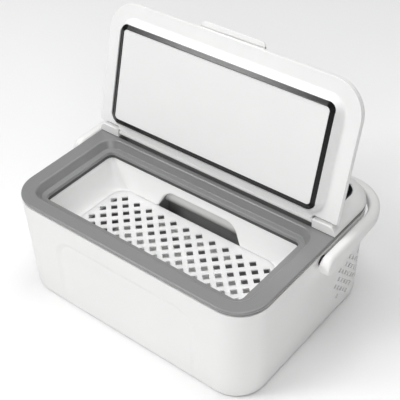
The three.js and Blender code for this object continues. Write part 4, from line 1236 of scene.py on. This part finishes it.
def lid_shell():
    foot = liner_top + FIT
    rise = lid_top - lid_edge_top
    shell = loft("lid_shell_skin", [
        *rounded_foot(lid_plan, foot, THIN_EDGE, 2),
        *shoulder(lid_plan, lid_edge_top, rise, LID_SHOULDER, 14),
    ])
    inside_plan = drawn_in(lid_plan, WALL)
    inside = loft("inside", [
        (foot - CLEAR, inside_plan),
        *shoulder(inside_plan, lid_edge_top - FIT, rise - LID_SKIN + FIT, LID_SHOULDER - WALL),
    ])
    barrel = rod("x", BARREL_RADIUS, -barrel_half, barrel_half, 0, 0)
    web = block(-barrel_half, barrel_half, -LID_BACK - CLEAR, 0, foot, lid_edge_top)
    front = lid_plan.y0
    half = TAB_WIDTH / 2
    tab_plan = plan(-half, half, front - TAB_REACH, front - FIT, TAB_REACH - SHARP, SHARP)
    tab = slab(tab_plan, foot, lid_edge_top)
    root = block(-half, half, front - CLEAR, front + WALL / 2, foot, lid_edge_top)
    cut(shell, inside)
    joined(shell, barrel, web, tab, root)
    pins = []
    for side in (-1, 1):
        ends = sorted((side * (barrel_half + CLEAR), side * (EAR_INNER - PIN_IN_LID - FIT)))
        pins.append(rod("x", PIN_RADIUS + FIT, *ends, 0, 0, 24))
    cut(shell, *pins)
    softened(shell, SOFT_EDGE)
    dressed(opened(shell), WHITE, "white_plastic", "lid_shell", body="lid")


def lid_liner():
    side_foot = plug_foot + SOFT_EDGE
    liner = loft("lid_liner_skin", [
        *rounded_foot(plug_plan, plug_foot, SOFT_EDGE),
        *slope(plug_plan, side_foot, lid_flange - side_foot, RECESS_SLOPE, RECESS_EASE)[1:],
        (liner_top, drawn_in(plug_plan, -RECESS_SLOPE)),
    ])
    combine(liner, [slab(lid_plan, plug_foot - CLEAR, liner_top)], "INTERSECT")
    flange = loft("flange", [*rounded_foot(lid_plan, lid_flange, SOFT_EDGE, 3), (liner_top, lid_plan)])
    apron = block(-barrel_half, barrel_half, -LID_BACK - CLEAR, -BARREL_RADIUS, lid_flange, liner_top)
    joined(liner, flange, apron)
    groove_roof = plug_foot + GASKET_THICK - GASKET_PROUD + FIT
    outer = drawn_in(gasket_plan, -FIT)
    inner = drawn_in(gasket_plan, GASKET_WIDTH + FIT)
    cut(liner, band("groove", outer, inner, plug_foot - CLEAR, groove_roof))
    dressed(opened(liner), SMOOTH_WHITE, "white_plastic", "lid_liner", body="lid")


def lid_gasket():
    """A rubber seal whose face slopes away towards its outer edge."""
    foot = plug_foot - GASKET_PROUD
    top = foot + GASKET_THICK
    inner = drawn_in(gasket_plan, GASKET_WIDTH)
    face = []
    for share in shares(8):
        across = drawn_in(gasket_plan, GASKET_WIDTH * share)
        face.append((foot + GASKET_FALL * (1 - share), across))
    gasket = loft("lid_gasket_skin", [
        (top, gasket_plan),
        *face[:-1],
        (foot, drawn_in(gasket_plan, GASKET_WIDTH * GASKET_LIP_SHARE)),
        (foot + GASKET_LIP_RISE, inner),
        (top, inner),
    ], closed=True)
    dressed(opened(gasket), SILICONE, "gasket_rubber", "lid_gasket", smooth=30, body="lid")


# Handle

def handle_stations():
    """Along the bail from its right end round the back to its left end: place, outward way,
    middle height and half height, which shrinks to round off each end."""
    line = drawn_in(case_plan, -(HANDLE_GAP + HANDLE_THICK / 2))
    boss = HANDLE_BOSS / 2
    right = []
    for turn in quarter_turn(CORNER_STEPS)[1:]:
        y = PIVOT_Y - boss * math.cos(turn)
        right.append((line.x1, y, 1, 0, PIVOT_Z, boss * math.sin(turn)))
    for turn in quarter_turn(CORNER_STEPS):
        way_x, way_y = math.cos(turn), math.sin(turn)
        x = line.x1 - line.back * (1 - way_x)
        y = line.y1 - line.back * (1 - way_y)
        right.append((x, y, way_x, way_y, RIM_TOP - GRIP_DROP, GRIP_HEIGHT / 2))
    left = [(-x, y, -way_x, way_y, z, half) for x, y, way_x, way_y, z, half in right]
    return right + left[::-1]


def handle_ring(x, y, way_x, way_y, z, half):
    """Points round the bail at a station, from its top edge outwards."""
    thick = HANDLE_THICK / 2
    edge = min(HANDLE_EDGE, half * HANDLE_EDGE_SHARE)
    ring = []
    for quarter, (up, out) in enumerate(((1, 1), (-1, 1), (-1, -1), (1, -1))):
        for share in shares(6):
            turn = (quarter + share) * math.pi / 2
            across = out * (thick - edge) + edge * math.sin(turn)
            height = z + up * (half - edge) + edge * math.cos(turn)
            ring.append((x + way_x * across, y + way_y * across, height))
    return ring


def handle_bail():
    bail = skin("handle_bail_skin", [handle_ring(*station) for station in handle_stations()])
    dressed(bail, WHITE, "white_plastic", "handle_bail", smooth=50, body="handle")


# Power inlet

def dc_inlet():
    wall_outer = case_plan_at(INLET_HEIGHT).y1
    flange_foot = case_plan_at(INLET_HEIGHT + INLET_FLANGE).y1 + FIT
    bore_foot = wall_outer - INLET_LENGTH + WALL

    def bar(radius, start, end):
        return rod("y", radius, start, end, -INLET_OFFSET, INLET_HEIGHT)

    inlet = bar(INLET_FLANGE, flange_foot, flange_foot + INLET_FLANGE_THICK)
    inlet.name = "dc_inlet_skin"
    joined(inlet, bar(INLET_RADIUS, wall_outer - INLET_LENGTH, flange_foot + CLEAR))
    cut(inlet, bar(INLET_BORE, bore_foot, BACK + INLET_FLANGE))
    joined(inlet, bar(INLET_PIN, bore_foot - CLEAR, wall_outer - CLEAR))
    softened(inlet, FINE_EDGE)
    dressed(inlet, BLACK, "dark_plastic", "dc_inlet")


# Solids that keep their own shape and only take a finish

def finish_solids():
    finishes = {
        ZINC: ["hinge_pin_left", "hinge_pin_right"],
        BLACK: ["display_module", "fan_frame", "fan_rotor", "handle_pin_left", "handle_pin_right"],
        ALUMINIUM: ["heat_sink"],
        # The cold plate is grey, not white, so that the shade under the duct's pad reads darker: painted
        # shade on top of the real shade.
        GREY: ["cold_plate"],
        BOARD: ["control_board"],
        CERAMIC: ["cooling_chip"],
        FOAM: ["foam_jacket", "lid_foam"],
    }
    for material, names in finishes.items():
        for name in names:
            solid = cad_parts[name]
            solid.data.materials.clear()
            solid.data.materials.append(material)


# Studio, in metres

FLOOR_SIZE = 6.0
AIM_HEIGHT = 0.08
EYE = Vector((361.70, -425.98, 535.33)) * MM
AZIMUTH = math.radians(40.004)
ELEVATION = math.radians(39.178)
ROLL = math.radians(-2.170)
FOCAL_PIXELS = 930.784
PICTURE_PIXELS = 400
SENSOR_MM = 36


def pale_floor():
    shape = bmesh.new()
    bmesh.ops.create_grid(shape, x_segments=1, y_segments=1, size=FLOOR_SIZE / 2)
    floor = new_piece("floor", shape)
    paper = fresh_look("matt_white_paper", Roughness=0.9)
    clouded(paper, 400, "F6F6F6", "F9F9F9")
    floor.data.materials.append(paper.material)


def camera():
    """A camera at the photograph's own viewpoint."""
    lens = bpy.data.cameras.new("camera")
    lens.sensor_width = SENSOR_MM
    lens.lens = FOCAL_PIXELS / PICTURE_PIXELS * SENSOR_MM
    lens.clip_start = 0.05
    lens.clip_end = 20
    eye = bpy.data.objects.new("camera", lens)
    tilt = Matrix.Rotation(math.pi / 2 - ELEVATION, 4, "X") @ Matrix.Rotation(ROLL, 4, "Z")
    eye.matrix_world = Matrix.Translation(EYE) @ Matrix.Rotation(AZIMUTH, 4, "Z") @ tilt
    bpy.context.scene.collection.objects.link(eye)
    bpy.context.scene.camera = eye


def soft_light(name, place, size, watts):
    """A square light that faces the case."""
    lamp = bpy.data.lights.new(name, "AREA")
    lamp.size = size
    lamp.energy = watts
    holder = bpy.data.objects.new(name, lamp)
    holder.location = place
    aim = Vector((0, 0, AIM_HEIGHT)) - Vector(place)
    holder.rotation_euler = aim.to_track_quat("-Z", "Y").to_euler()
    bpy.context.scene.collection.objects.link(holder)


def studio():
    pale_floor()
    soft_light("key_light", (-0.9, -1.09, 1.085), size=0.3, watts=5)
    soft_light("high_light", (-0.8, -0.9, 1.7), size=0.9, watts=15)
    soft_light("top_light", (0.1, 0.3, 2.0), size=1.5, watts=25)
    soft_light("fill_light", (1.1, -1.3, 0.9), size=1.2, watts=11.5)
    world = bpy.data.worlds.new("studio")
    world.use_nodes = True
    sky = world.node_tree.nodes["Background"]
    sky.inputs["Color"].default_value = (1, 1, 1, 1)
    sky.inputs["Strength"].default_value = 0.02
    bpy.context.scene.world = world
    bpy.context.scene.view_settings.view_transform = "Standard"
    camera()


base_cover()
rubber_feet()
base_screws()
housing_shell()
rim_frame()
mouth_strip()
liner_tub()
duct_shade_skin()
well_pan()
well_mat()
duct_screen()
lift_out_tray()
deck_cover()
panel_window()
for key in KEY_FROM_END:
    push_key(key)
key_prints()
lid_shell()
lid_liner()
lid_gasket()
handle_bail()
dc_inlet()
finish_solids()
studio()
